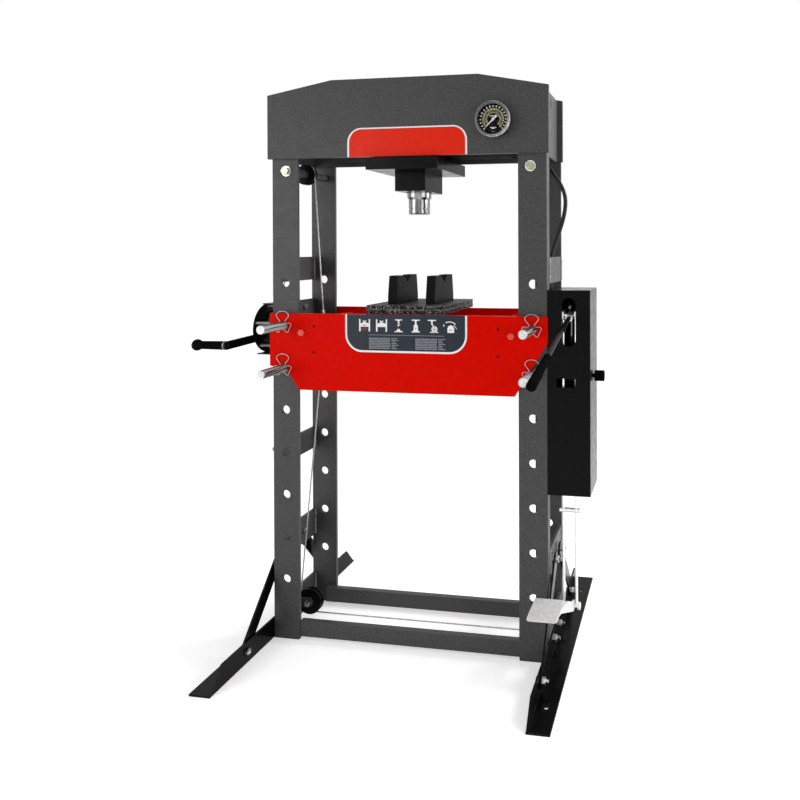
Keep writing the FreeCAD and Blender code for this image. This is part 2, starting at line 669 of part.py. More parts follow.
def table_pin(x, z):
    """A plain round pin with chamfered ends and a groove for its clip."""
    start = FRONT_Y - PIN_FRONT
    end = TABLE_REAR_Y + TABLE_WALL + PIN_REAR
    body = Part.makeCylinder(PIN_R, end - start, V(x, start, z), V(0, 1, 0))
    body = body.makeChamfer(1.5, [e for e in body.Edges if e.Closed])
    low, high = (x, CLIP_Y - CLIP_GROOVE / 2, z), (x, CLIP_Y + CLIP_GROOVE / 2, z)
    return body.cut(tube(low, high, PIN_R + 1, CLIP_REACH - CLIP_WIRE_R))


def pin_clip(x, z):
    """A spring wire bent in three lobes, open below the pin, that snaps into the pin's groove."""
    route = [(-a, b) for a, b in reversed(CLIP_HALF[1:])] + CLIP_HALF
    return cord("clip", [(x + a, CLIP_Y, z + b) for a, b in route], CLIP_WIRE_R)


def arbor_plates():
    """Two flat steel plates, one on the other, across the table."""
    width, depth, wall = ARBOR_SIZE
    out = []
    for i in range(2):
        z = TABLE_TOP + i * wall
        plate = box((ARBOR_X - width / 2, ARBOR_X + width / 2), (ARBOR_FRONT, ARBOR_FRONT + depth), (z, z + wall))
        out.append(plate.makeChamfer(1.5, plate.Edges))
    return out


def vee_block(side):
    """A tapered block with a groove across its top."""
    z = TABLE_TOP + 2 * ARBOR_SIZE[2]
    middle = VEE_FRONT + VEE_LENGTH / 2
    half, top_half = VEE_LENGTH / 2, VEE_TOP / 2
    groove_half, groove_depth = VEE_GROOVE[0] / 2, VEE_GROOVE[1]
    top = z + VEE_HEIGHT
    outline = [(-half, z), (half, z), (half, z + VEE_HEIGHT * 0.25), (top_half, top), (groove_half, top),
               (0, top - groove_depth), (-groove_half, top), (-top_half, top), (-half, z + VEE_HEIGHT * 0.25)]
    body = plate_x([(middle + y, h) for y, h in outline], side * VEE_X - VEE_THICKNESS / 2, VEE_THICKNESS)
    return body.makeChamfer(1.5, [e for e in body.Edges if abs(e.CenterOfMass.x - side * VEE_X) > 1])


# ---------------------------------------------------------------- cylinder head
def stud_places():
    return [(sx * STUD_SPACING[0], sy * STUD_SPACING[1] - 6) for sx in SIDES for sy in SIDES]


def saddle():
    body = box((-SADDLE_WIDTH / 2, SADDLE_WIDTH / 2), (SADDLE_FRONT, SADDLE_REAR), SADDLE_BAND)
    body = body.cut(rod((0, 0, SADDLE_BAND[0] - 1), (0, 0, SADDLE_BAND[1] + 1), CYLINDER_NECK_R))
    for x, y in stud_places():
        body = body.cut(rod((x, y, SADDLE_BAND[1] - STUD_DEPTH), (x, y, SADDLE_BAND[1] + 1), M16[0]))
    return body.makeChamfer(2.0, [e for e in body.Edges if abs(e.CenterOfMass.y - SADDLE_FRONT) < 1e-3])


def hanger_plate():
    """Slides on the beam's rails and carries the cylinder and the saddle."""
    width, wall = HANGER_SIZE
    z = BEAM_RAIL_Z + BEAM_RAIL[1] + PIECE_GAP
    y = (BEAM_IN_Y[0] + PIECE_GAP, BEAM_IN_Y[1] - PIECE_GAP)
    body = box((-width / 2, width / 2), y, (z, z + wall))
    body = body.cut(rod((0, 0, z - 1), (0, 0, z + wall + 1), CYLINDER_R))
    for x, y in stud_places():
        body = body.cut(rod((x, y, z - 1), (x, y, z + wall + 1), M16[0] + HOLE_CLEARANCE))
    return body


def head_studs():
    top = BEAM_RAIL_Z + BEAM_RAIL[1] + PIECE_GAP + HANGER_SIZE[1]
    length = top - SADDLE_BAND[1] + STUD_DEPTH
    return [bolt((x, y, top), (0, 0, -1), M16, length) for x, y in stud_places()]


def cylinder():
    """The pressure cylinder: its barrel stands on the saddle and its neck passes through."""
    low = SADDLE_BAND[0] - GUARD_SIZE[2] + GUARD_WALL + 6
    points = [(RAM_R + RUN_CLEARANCE, low), (CYLINDER_NECK_R, low), (CYLINDER_NECK_R, SADDLE_BAND[1]),
              (CYLINDER_R, SADDLE_BAND[1]), (CYLINDER_R, CYLINDER_TOP - 10), (CYLINDER_R - 10, CYLINDER_TOP),
              (0, CYLINDER_TOP), (0, RAM_TOP + 6), (RAM_R + 8, RAM_TOP + 6), (RAM_R + 8, SADDLE_BAND[1] + 20),
              (RAM_R + RUN_CLEARANCE, SADDLE_BAND[1] + 20)]
    body = face([(r, 0, z) for r, z in points]).revolve(V(0, 0, 0), V(0, 0, 1), 360)
    port = rod((CYLINDER_R - 6, 0, 1690), (CYLINDER_R + 1, 0, 1690), 8)
    second = rod((CYLINDER_R - 25, -40, 1730), (CYLINDER_R + 1, -40, 1730), 6)
    return body.cut(port).cut(second)


def cylinder_ports():
    """The two threaded adaptors on the cylinder: hose and gauge."""
    big = rod((CYLINDER_R - 6, 0, 1690), (CYLINDER_R + 8, 0, 1690), 8)
    big = big.fuse(hexagon((CYLINDER_R + 8, 0, 1690), (1, 0, 0), 24, 27 - RUN_CLEARANCE))
    low = math.sqrt(CYLINDER_R ** 2 - 40 ** 2)
    small = rod((CYLINDER_R - 25, -40, 1730), (low + 10, -40, 1730), 6)
    small = small.fuse(hexagon((low + 10, -40, 1730), (1, 0, 0), 17, 85 - low - RUN_CLEARANCE))
    return [big, small]


def guard():
    """A folded box round the cylinder's neck, open at its top."""
    x, y, height = GUARD_SIZE
    z0, z1 = SADDLE_BAND[0] - height, SADDLE_BAND[0]
    w = GUARD_WALL
    outer = box((-x / 2, x / 2), (-y / 2, y / 2), (z0, z1))
    inner = box((-x / 2 + w, x / 2 - w), (-y / 2 + w, y / 2 - w), (z0 + w, z1 + 1))
    hole = rod((0, 0, z0 - 1), (0, 0, z0 + w + 1), RAM_R + 3)
    return outer.cut(inner).cut(hole)


def ram():
    """The moving piston rod, with the wider piston at its top."""
    low = RAM_TIP_BAND[1]
    points = [(0, low), (RAM_TIP_R, low), (RAM_R, low + RAM_TAPER), (RAM_R, RAM_TOP - 25),
              (RAM_R + 7, RAM_TOP - 25), (RAM_R + 7, RAM_TOP), (0, RAM_TOP)]
    return face([(r, 0, z) for r, z in points]).revolve(V(0, 0, 0), V(0, 0, 1), 360)


def ram_tip():
    low, high = RAM_TIP_BAND
    r = RAM_TIP_R
    groove = low + 19
    points = [(0, low), (r - 3, low), (r, low + 3), (r, groove - 2), (r - 2, groove - 2), (r - 2, groove + 2),
              (r, groove + 2), (r, high), (0, high)]
    return face([(x, 0, z) for x, z in points]).revolve(V(0, 0, 0), V(0, 0, 1), 360)


# ---------------------------------------------------------------- panels and gauge
def head_panel():
    body = rounded_top(HEAD_PANEL, HEAD_PANEL_CORNER, True).extrude(V(0, -PANEL_WALL, 0))
    body.translate(V(0, BEAM_FRONT_Y, 0))
    return body


def table_panel():
    body = rounded_top(TABLE_PANEL, TABLE_PANEL_CORNER, False).extrude(V(0, -PANEL_WALL, 0))
    body.translate(V(0, TABLE_FRONT_Y - TABLE_WALL, 0))
    return body


def about_gauge(points):
    """A turned shape about the gauge's axis from points of radius and distance out of the beam."""
    y = BEAM_FRONT_Y
    outline = face([(GAUGE_X + r, y - d, GAUGE_Z) for r, d in points])
    return outline.revolve(V(GAUGE_X, y, GAUGE_Z), V(0, 1, 0), 360)


def gauge_case():
    body = about_gauge([(0, 0), (GAUGE_R - 6, 0), (GAUGE_R - 3, 3), (GAUGE_R - 3, GAUGE_DEPTH - 9),
                        (GAUGE_R, GAUGE_DEPTH - 9), (GAUGE_R, GAUGE_DEPTH - 3), (GAUGE_R - 3, GAUGE_DEPTH),
                        (GAUGE_DIAL_R, GAUGE_DEPTH), (GAUGE_DIAL_R, GAUGE_DEPTH - 14), (0, GAUGE_DEPTH - 14)])
    stem = rod((GAUGE_X, BEAM_FRONT_Y, GAUGE_Z), (GAUGE_X, FRONT_Y + 6, GAUGE_Z), GAUGE_STEM_R)
    union = hexagon((GAUGE_X, FRONT_Y, GAUGE_Z), (0, 1, 0), 24, 20)
    stem = stem.cut(rod((GAUGE_X, FRONT_Y, GAUGE_Z), (GAUGE_X, FRONT_Y + 7, GAUGE_Z), GAUGE_STEM_R + 1))
    union = union.cut(rod((GAUGE_X, FRONT_Y + 12, GAUGE_Z), (GAUGE_X, FRONT_Y + 21, GAUGE_Z), GAUGE_HOSE_R))
    return body.fuse(stem).fuse(union)


def gauge_dial():
    d = GAUGE_DEPTH - 14
    dial = about_gauge([(0, d), (GAUGE_DIAL_R - 0.5, d), (GAUGE_DIAL_R - 0.5, d + 1.5), (0, d + 1.5)])
    post = rod((GAUGE_X, BEAM_FRONT_Y - d - 1, GAUGE_Z), (GAUGE_X, BEAM_FRONT_Y - d - 6, GAUGE_Z), 1.2)
    return dial.fuse(post)


def gauge_pointer():
    """A tapered pointer with a boss that turns on the dial's post."""
    d = GAUGE_DEPTH - 14 + 3
    y = BEAM_FRONT_Y - d - 1.2
    blade = plate_y([(-3.6, -16), (3.6, -16), (2.6, -4), (0.5, POINTER_LENGTH), (-0.5, POINTER_LENGTH),
                     (-2.6, -4)], 0, 1.2)
    boss = rod((0, 1.2, 0), (0, -1.5, 0), 4.5)
    body = blade.fuse(boss).cut(rod((0, 2, 0), (0, -3, 0), 1.2 + RUN_CLEARANCE))
    body.rotate(V(0, 0, 0), V(0, 1, 0), POINTER_REST)
    body.translate(V(GAUGE_X, y, GAUGE_Z))
    return body


def gauge_glass():
    d = GAUGE_DEPTH - 4
    return about_gauge([(0, d), (GAUGE_DIAL_R - 0.2, d), (GAUGE_DIAL_R - 0.2, d + 2.5), (0, d + 2.5)])


# ---------------------------------------------------------------- pulleys and wire ropes
def pulley(side, place, bore):
    """A grooved pulley that turns on a bolt along Y."""
    x, z, rim, groove = place
    half = PULLEY_WIDTH / 2
    cx = side * x
    points = [(bore, -half), (rim, -half), (rim, -GROOVE_HALF), (groove, -ROPE_R - 0.5), (groove, ROPE_R + 0.5),
              (rim, GROOVE_HALF), (rim, half), (bore, half)]
    outline = face([(cx + r, y, z) for r, y in points])
    return outline.revolve(V(cx, 0, z), V(0, 1, 0), 360)


def lower_pulley(side):
    body = pulley(side, LOWER_PULLEY, M12[0] + RUN_CLEARANCE)
    x, z = side * LOWER_PULLEY[0], LOWER_PULLEY[1]
    for k in range(4):
        a = math.radians(90 * k + 45)
        cx, cz = x + 22 * math.cos(a), z + 22 * math.sin(a)
        body = body.cut(rod((cx, -PULLEY_WIDTH, cz), (cx, PULLEY_WIDTH, cz), 5))
    return body


def pulley_bracket(side):
    """Two cheeks from the bottom spacer, one each side of the lower pulley."""
    x, z = LOWER_PULLEY[:2]
    out = []
    for sy in SIDES:
        y = sy * (LOWER_CHEEK_GAP / 2 + LOWER_CHEEK_WALL / 2) - LOWER_CHEEK_WALL / 2
        cheek = box((x, SPACER_IN_X), (y, y + LOWER_CHEEK_WALL), (z - 16, z + 16))
        cheek = cheek.fuse(rod((x, y, z), (x, y + LOWER_CHEEK_WALL, z), 16))
        cheek = cheek.cut(rod((x, y - 1, z), (x, y + LOWER_CHEEK_WALL + 1, z), M12[0] + HOLE_CLEARANCE))
        cheek = cheek.removeSplitter()
        out.append(cheek if side > 0 else mirror_x(cheek))
    return out


def lower_axles():
    x, z = LOWER_PULLEY[:2]
    half = LOWER_CHEEK_GAP / 2 + LOWER_CHEEK_WALL
    return [bolt((s * x, -half, z), (0, 1, 0), M12, 2 * half + M12[2] + 3) for s in SIDES]


def lower_axle_nuts():
    x, z = LOWER_PULLEY[:2]
    half = LOWER_CHEEK_GAP / 2 + LOWER_CHEEK_WALL
    return [nut((s * x, half, z), (0, 1, 0), M12) for s in SIDES]


def eye_stem(end, inward):
    """A stem from an eye's ring that a rope's end enters: the bore follows the rope's last run."""
    tip, back = V(*end), V(*inward)
    way = (back - tip).normalize()
    mouth = tip + way * EYE_STEM_DEPTH
    stem = Part.makeCylinder(EYE_STEM_R, (mouth - tip).Length + abs(tip.z - TABLE_BOLT_Z), mouth, way * -1)
    bore = Part.makeCylinder(ROPE_R + PIECE_GAP, EYE_STEM_DEPTH + PIECE_GAP + 1, mouth + way, way * -1)
    return stem, bore


def rope_eyes():
    """Rings on the table's tubes with stems that grip the rope ends; the left one has two stems."""
    ends = [(LIFT_ROPE_POINTS[-1], LIFT_ROPE_POINTS[-2]), (LEVEL_ROPE_POINTS[-1], LEVEL_ROPE_POINTS[-2]),
            (LEVEL_ROPE_POINTS[0], LEVEL_ROPE_POINTS[1])]
    out = []
    for s in SIDES:
        x, z, half = s * TABLE_BOLT_X, TABLE_BOLT_Z, EYE_WIDTH / 2
        body = rod((x, -half, z), (x, half, z), EYE_R)
        bores = [rod((x, -half - 1, z), (x, half + 1, z), TABLE_TUBE_R)]
        for end, inward in ends:
            if end[0] * s > 0:
                stem, bore = eye_stem(end, inward)
                body = body.fuse(stem)
                bores.append(bore)
        for bore in bores:
            body = body.cut(bore)
        out.append(body.removeSplitter())
    return out


def lift_rope():
    r = UPPER_PULLEY[3] + PIECE_GAP + ROPE_R
    return cord("lift_rope", LIFT_ROPE_POINTS, ROPE_R, {1: r, 2: r})


def level_rope():
    high = UPPER_PULLEY[3] + PIECE_GAP + ROPE_R
    low = LOWER_PULLEY[3] + PIECE_GAP + ROPE_R
    return cord("level_rope", LEVEL_ROPE_POINTS, ROPE_R, {1: low, 2: low, 3: high, 4: high})


# ---------------------------------------------------------------- winch
def involute(base, t):
    return base * (math.cos(t) + t * math.sin(t)), base * (math.sin(t) - t * math.cos(t))


def gear_outline(teeth, phase):
    """Closed outline of an involute spur gear about the origin; a tooth is centred at phase radians."""
    pitch = GEAR_MODULE * teeth / 2
    base = pitch * math.cos(math.radians(PRESSURE_ANGLE))
    tip = pitch + GEAR_MODULE * 0.95
    root = pitch - GEAR_MODULE * 1.25
    pa = math.radians(PRESSURE_ANGLE)
    half_tooth = (math.pi * GEAR_MODULE / 2 - BACKLASH) / 2 / pitch + math.tan(pa) - pa
    first = math.sqrt(max((max(root, base) / base) ** 2 - 1, 0))
    last = math.sqrt((tip / base) ** 2 - 1)
    steps = 3
    flank = []
    for k in range(steps + 1):
        x, y = involute(base, first + (last - first) * k / steps)
        flank.append((math.hypot(x, y), math.atan2(y, x)))
    points = []
    for tooth in range(teeth):
        middle = phase + 2 * math.pi * tooth / teeth
        points.append((root, middle - half_tooth))
        points += [(r, middle - half_tooth + a) for r, a in flank]
        points += [(r, middle + half_tooth - a) for r, a in reversed(flank)]
        points.append((root, middle + half_tooth))
    return points


def gear(teeth, phase, y, z, x0, width):
    ring = [(y + r * math.cos(a), z + r * math.sin(a)) for r, a in gear_outline(teeth, phase)]
    return plate_x(ring, x0, width)


def mesh_angle():
    """Direction from the drum's axis to the pinion's."""
    return math.atan2(PINION_Z - DRUM_Z, PINION_Y - DRUM_Y)


def gear_x0():
    return WINCH_OUTER_X + WINCH_WALL + 2


def winch_disc(x0):
    """A round side plate with holes for both shafts."""
    body = rod((x0, WINCH_Y, WINCH_Z), (x0 + WINCH_WALL, WINCH_Y, WINCH_Z), WINCH_DISC_R)
    body = body.cut(rod((x0 - 1, DRUM_Y, DRUM_Z), (x0 + WINCH_WALL + 1, DRUM_Y, DRUM_Z), DRUM_SHAFT_R + RUN_CLEARANCE))
    return body.cut(rod((x0 - 1, PINION_Y, PINION_Z), (x0 + WINCH_WALL + 1, PINION_Y, PINION_Z),
                        CRANK_SHAFT_R + RUN_CLEARANCE))


def winch_frame():
    """Two side plates, a base plate on the upright's side, and the flanges that join them."""
    body = winch_disc(WINCH_OUTER_X).fuse(winch_disc(WINCH_INNER_X))
    base_x = (-OUTER_X - WINCH_BASE_WALL, -OUTER_X)
    low, high = WINCH_Z - WINCH_DISC_R, WINCH_Z + WINCH_DISC_R
    base = box(base_x, (-70, 70), (low - 4, high + 4))
    body = body.fuse(base)
    for z0, y in ((high - 3, (-30, 32)), (low - 1, (-62, 45))):
        body = body.fuse(box((WINCH_OUTER_X, -OUTER_X), y, (z0, z0 + WINCH_WALL)))
    rope_slot = box((WINCH_INNER_X - 24, WINCH_INNER_X - 1), (-8, 8), (high - 8, high + 6))
    body = body.cut(rope_slot)
    for y, z in winch_screw_places():
        body = body.cut(rod((base_x[0] - 1, y, z), (base_x[1] + 1, y, z), M10[0] + HOLE_CLEARANCE))
    return body.removeSplitter()


def winch_screw_places():
    return [(sy * 52, WINCH_Z + sz * 70) for sy in SIDES for sz in SIDES]


def winch_screws():
    return [bolt((-OUTER_X - WINCH_BASE_WALL, y, z), (1, 0, 0), M10, WINCH_BASE_WALL + SPACER_THICKNESS + M10[2] + 3)
            for y, z in winch_screw_places()]


def winch_nuts():
    return [nut((-SPACER_IN_X, y, z), (1, 0, 0), M10) for y, z in winch_screw_places()]


def winch_mount():
    body = box((-SPACER_IN_X, -OUTER_X), SPACER_Y, WINCH_MOUNT_BAND)
    for y, z in winch_screw_places():
        body = body.cut(rod((-OUTER_X - 1, y, z), (-SPACER_IN_X + 1, y, z), M10[0] + HOLE_CLEARANCE))
    return body


def winch_tie_bars():
    """Round bars between the two side plates."""
    out = []
    for degrees in (163, 228, 98):
        a = math.radians(degrees)
        y, z = WINCH_Y + 76 * math.cos(a), WINCH_Z + 76 * math.sin(a)
        out.append(rod((WINCH_OUTER_X + WINCH_WALL, y, z), (WINCH_INNER_X, y, z), 5))
    return out


def winch_drum():
    """Drum, its end discs, its shaft and its gear, with the rope wound on it as one piece."""
    x0 = gear_x0()
    drum_x = (x0 + GEAR_WIDTH, WINCH_INNER_X - 3)
    turns = 7
    length = drum_x[1] - drum_x[0]
    body = rod((WINCH_OUTER_X - 3, DRUM_Y, DRUM_Z), (WINCH_INNER_X + WINCH_WALL + 3, DRUM_Y, DRUM_Z), DRUM_SHAFT_R)
    body = body.fuse(gear(DRUM_TEETH, mesh_angle(), DRUM_Y, DRUM_Z, x0, GEAR_WIDTH))
    body = body.fuse(rod((drum_x[0], DRUM_Y, DRUM_Z), (drum_x[1], DRUM_Y, DRUM_Z), DRUM_CORE_R))
    body = body.fuse(rod((drum_x[1] - 3, DRUM_Y, DRUM_Z), (drum_x[1], DRUM_Y, DRUM_Z), 45))
    return body.removeSplitter(), (drum_x[0], length - 3, turns)


def rope_coil(start, length, turns):
    """The turns of rope that lie side by side on the drum."""
    pitch = length / turns
    r = pitch / 2
    outline = []
    x = start
    points = [V(start, DRUM_Y + DRUM_CORE_R, DRUM_Z)]
    edges = []
    for k in range(turns):
        a = V(x, DRUM_Y + DRUM_COIL_R - r, DRUM_Z)
        b = V(x + pitch, DRUM_Y + DRUM_COIL_R - r, DRUM_Z)
        middle = V(x + r, DRUM_Y + DRUM_COIL_R, DRUM_Z)
        if k == 0:
            edges.append(Part.LineSegment(points[0], a).toShape())
        edges.append(Part.Arc(a, middle, b).toShape())
        x += pitch
    last = V(x, DRUM_Y + DRUM_CORE_R, DRUM_Z)
    edges.append(Part.LineSegment(b, last).toShape())
    edges.append(Part.LineSegment(last, points[0]).toShape())
    outline = Part.Face(Part.Wire(edges))
    return outline.revolve(V(0, DRUM_Y, DRUM_Z), V(1, 0, 0), 360)


def crank_shaft():
    """Pinion and shaft in one, with a nut end outside the crank."""
    x0 = gear_x0()
    tooth_phase = mesh_angle() + math.pi + math.pi / PINION_TEETH
    body = gear(PINION_TEETH, tooth_phase, PINION_Y, PINION_Z, x0 - 1, GEAR_WIDTH + 2)
    out_x = WINCH_OUTER_X - 5 - CRANK_WALL
    shaft = rod((out_x - 12, PINION_Y, PINION_Z), (WINCH_INNER_X + WINCH_WALL + 3, PINION_Y, PINION_Z), CRANK_SHAFT_R)
    nut_end = hexagon((out_x, PINION_Y, PINION_Z), (-1, 0, 0), 22, 10)
    collar = rod((WINCH_OUTER_X - PIECE_GAP, PINION_Y, PINION_Z), (WINCH_OUTER_X - 5, PINION_Y, PINION_Z), 11)
    return body.fuse(shaft).fuse(nut_end).fuse(collar).removeSplitter()


def crank_end():
    return PINION_Y - CRANK_REACH, PINION_Z - CRANK_DROP


def crank_arm():
    x0 = WINCH_OUTER_X - 5 - CRANK_WALL
    end_y, end_z = crank_end()
    half = CRANK_WIDTH / 2
    bar = plate_x([(PINION_Y, PINION_Z - half), (PINION_Y, PINION_Z + half), (end_y, end_z + half),
                   (end_y, end_z - half)], x0, CRANK_WALL)
    for y, z in ((PINION_Y, PINION_Z), (end_y, end_z)):
        bar = bar.fuse(rod((x0, y, z), (x0 + CRANK_WALL, y, z), half))
    bar = bar.cut(rod((x0 - 1, PINION_Y, PINION_Z), (x0 + CRANK_WALL + 1, PINION_Y, PINION_Z), CRANK_SHAFT_R))
    bar = bar.cut(rod((x0 - 1, end_y, end_z), (x0 + CRANK_WALL + 1, end_y, end_z), 5))
    return bar.removeSplitter()


def grip_pin():
    """The pin that the grip turns on, with the bright collar beside the arm."""
    x0 = WINCH_OUTER_X - 5 - CRANK_WALL
    y, z = crank_end()
    pin = rod((x0 + CRANK_WALL + 2, y, z), (x0 - 5 - GRIP_LENGTH - 2, y, z), 5)
    collar = rod((x0, y, z), (x0 - 4.7, y, z), GRIP_R + 0.5)
    head = rod((x0 - 5 - GRIP_LENGTH, y, z), (x0 - 5 - GRIP_LENGTH - 3, y, z), 8)
    tail = rod((x0 + CRANK_WALL, y, z), (x0 + CRANK_WALL + 2, y, z), 7)
    return pin.fuse(collar).fuse(head).fuse(tail).removeSplitter()


def crank_grip():
    """A round grip with a rounded flange at its free end."""
    x0 = WINCH_OUTER_X - 5 - CRANK_WALL - 5
    y, z = crank_end()
    length = GRIP_LENGTH - PIECE_GAP
    bore = 5 + RUN_CLEARANCE
    p = [V(x0 - d, y + r, z) for d, r in ((0, bore), (0, GRIP_R - 1.5), (1.5, GRIP_R), (length - 22, GRIP_R - 1),
                                          (length - 10, GRIP_R + 4.5), (length, GRIP_R), (length, bore))]
    edges = [Part.LineSegment(a, b).toShape() for a, b in zip(p[:3], p[1:4])]
    edges.append(Part.Arc(p[3], p[4], p[5]).toShape())
    edges += [Part.LineSegment(p[5], p[6]).toShape(), Part.LineSegment(p[6], p[0]).toShape()]
    return Part.Face(Part.Wire(edges)).revolve(V(0, y, z), V(1, 0, 0), 360)


# ---------------------------------------------------------------- pump
def pump_mount():
    return box((SPACER_IN_X, OUTER_X), SPACER_Y, PUMP_MOUNT_BAND)


def pump_box():
    """A folded steel cover: a slot for the lever, a small window and openings for stirrup and hose."""
    w = BOX_WALL
    outer = box(BOX_X, BOX_Y, BOX_BAND)
    inner = box((BOX_X[0] + w, BOX_X[1] - w), (BOX_Y[0] + w, BOX_Y[1] - w), (BOX_BAND[0] + w, BOX_BAND[1] - w))
    body = outer.cut(inner)
    front = (BOX_Y[0] - 1, BOX_Y[0] + w + 1)
    half = SLOT_WIDTH / 2
    low, high = SLOT_BAND[0] + half, SLOT_BAND[1] - half
    body = body.cut(box((LEVER_X - half, LEVER_X + half), front, (low, high)))
    for z in (low, high):
        body = body.cut(rod((LEVER_X, front[0], z), (LEVER_X, front[1], z), half))
    body = body.cut(box(WINDOW[:2], front, WINDOW[2:]))
    reach = STIRRUP_SPACING / 2 + STIRRUP_R + 4
    body = body.cut(box((LEVER_X - reach, LEVER_X + reach), (STIRRUP_Y - 12, STIRRUP_Y + 12),
                        (BOX_BAND[0] - 1, BOX_BAND[0] + w + 1)))
    y, z = PIPE_POINTS[2][1:]
    body = body.cut(rod((BOX_X[0] - 1, y, z), (BOX_X[0] + w + 1, y, z), PIPE_R + 2))
    body = body.cut(rod((BOX_X[1] - w - 1, KNOB_Y, KNOB_Z), (BOX_X[1] + 1, KNOB_Y, KNOB_Z), 9))
    edges = [e for e in body.Edges if abs(e.Length - (BOX_BAND[1] - BOX_BAND[0])) < 1e-3
             and abs(e.CenterOfMass.x - BOX_X[1]) < 1e-3]
    return body.makeFillet(2.5, edges)


def pump_block():
    """Pump body and oil tank, with the two ears that hold the lever and the bore of the plunger."""
    x0, x1, y0, y1, z0, z1 = PUMP_BLOCK
    body = box((BOX_X[0] + BOX_WALL, x1), (y0, y1), (z0, z1))
    body = body.makeFillet(6, [e for e in body.Edges if abs(e.Length - (z1 - z0)) < 1e-3
                               and e.CenterOfMass.x > x1 - 1])
    plunger_y = LEVER_PIVOT_Y - PLUNGER_ARM
    boss = rod((LEVER_X, plunger_y, z1 - 120), (LEVER_X, plunger_y, z1 - 30), PLUNGER_R + 9)
    body = body.fuse(boss)
    body = body.cut(rod((LEVER_X, plunger_y, z1 - 100), (LEVER_X, plunger_y, z1 + 1), PLUNGER_R + RUN_CLEARANCE))
    body = body.cut(box((LEVER_X - 19, LEVER_X + 19), (y0 - 30, LEVER_PIVOT_Y + 22), (z1 - 30, z1 + 1)))
    for side in SIDES:
        x = LEVER_X + side * 22.5 - 3
        ear = box((x, x + 6), (LEVER_PIVOT_Y - 16, LEVER_PIVOT_Y + 16), (z1 - 20, LEVER_PIVOT_Z))
        ear = ear.fuse(rod((x, LEVER_PIVOT_Y, LEVER_PIVOT_Z), (x + 6, LEVER_PIVOT_Y, LEVER_PIVOT_Z), 16))
        ear = ear.cut(rod((x - 1, LEVER_PIVOT_Y, LEVER_PIVOT_Z), (x + 7, LEVER_PIVOT_Y, LEVER_PIVOT_Z), 7))
        body = body.fuse(ear)
    body = body.cut(rod((x1 - 20, KNOB_Y, KNOB_Z), (x1 + 1, KNOB_Y, KNOB_Z), 6 + RUN_CLEARANCE))
    return body.removeSplitter()


def pivot_pin():
    return rod((LEVER_X - 27, LEVER_PIVOT_Y, LEVER_PIVOT_Z), (LEVER_X + 27, LEVER_PIVOT_Y, LEVER_PIVOT_Z), 7)


def tilt_lever(shape):
    """Turns a shape built level, pointing along -Y from the pivot, down to the rest tilt."""
    shape.rotate(V(0, 0, 0), V(1, 0, 0), LEVER_TILT)
    shape.translate(V(LEVER_X, LEVER_PIVOT_Y, LEVER_PIVOT_Z))
    return shape


def lever_socket():
    """The forged socket: an eye on the pivot, a stem that takes the lever, and the stirrup's pin."""
    eye = rod((-15, 0, 0), (15, 0, 0), SOCKET_R + 3)
    stem = rod((LEVER_OFFSET, 0, 0), (LEVER_OFFSET, -SOCKET_LENGTH, 0), SOCKET_R)
    pin = rod((-STIRRUP_SPACING / 2 - 7, -STIRRUP_ARM, 0), (STIRRUP_SPACING / 2 + 7, -STIRRUP_ARM, 0), 4)
    body = eye.fuse(stem).fuse(pin)
    for side in SIDES:
        x = side * (STIRRUP_SPACING / 2 + 3 + PIECE_GAP)
        body = body.fuse(rod((x, -STIRRUP_ARM, 0), (x + side * 3, -STIRRUP_ARM, 0), 9.5))
    body = body.cut(rod((-16, 0, 0), (16, 0, 0), 7 + RUN_CLEARANCE))
    body = body.cut(rod((LEVER_OFFSET, -SOCKET_LENGTH - 1, 0), (LEVER_OFFSET, -95, 0), LEVER_R))
    return tilt_lever(body.removeSplitter())


def lever_tube():
    x = LEVER_OFFSET
    return tilt_lever(tube((x, -95, 0), (x, -LEVER_END + 3, 0), LEVER_R, LEVER_R - 2))


def lever_grip():
    """A smooth grip that widens towards its closed, rounded end."""
    start, end = LEVER_END - LEVER_GRIP_LENGTH, LEVER_END
    first, last = LEVER_GRIP_R
    p = [V(LEVER_OFFSET + r, -d, 0) for r, d in (
        (LEVER_R, start), (first - 1, start), (first, start + 1.5), (last, end - 7), (last - 2, end - 2),
        (last - 7, end), (0, end), (0, end - 3), (LEVER_R, end - 3))]
    edges = [Part.LineSegment(p[i], p[(i + 1) % 9]).toShape() for i in (0, 1, 2, 5, 6, 7, 8)]
    edges.insert(3, Part.Arc(p[3], p[4], p[5]).toShape())
    outline = Part.Face(Part.Wire(edges))
    return tilt_lever(outline.revolve(V(LEVER_OFFSET, 0, 0), V(0, 1, 0), 360))


def plunger():
    """The pump's plunger: its rounded top stands under the lever's socket."""
    y = LEVER_PIVOT_Y - PLUNGER_ARM
    z1 = PUMP_BLOCK[5]
    top = LEVER_PIVOT_Z - PLUNGER_ARM * math.sin(LEVER_DROP) - (SOCKET_R / math.cos(LEVER_DROP)) - 8
    body = rod((LEVER_X, y, z1 - 68), (LEVER_X, y, top), PLUNGER_R)
    return body.makeFillet(6, [e for e in body.Edges if e.Closed and e.CenterOfMass.z > top - 1])


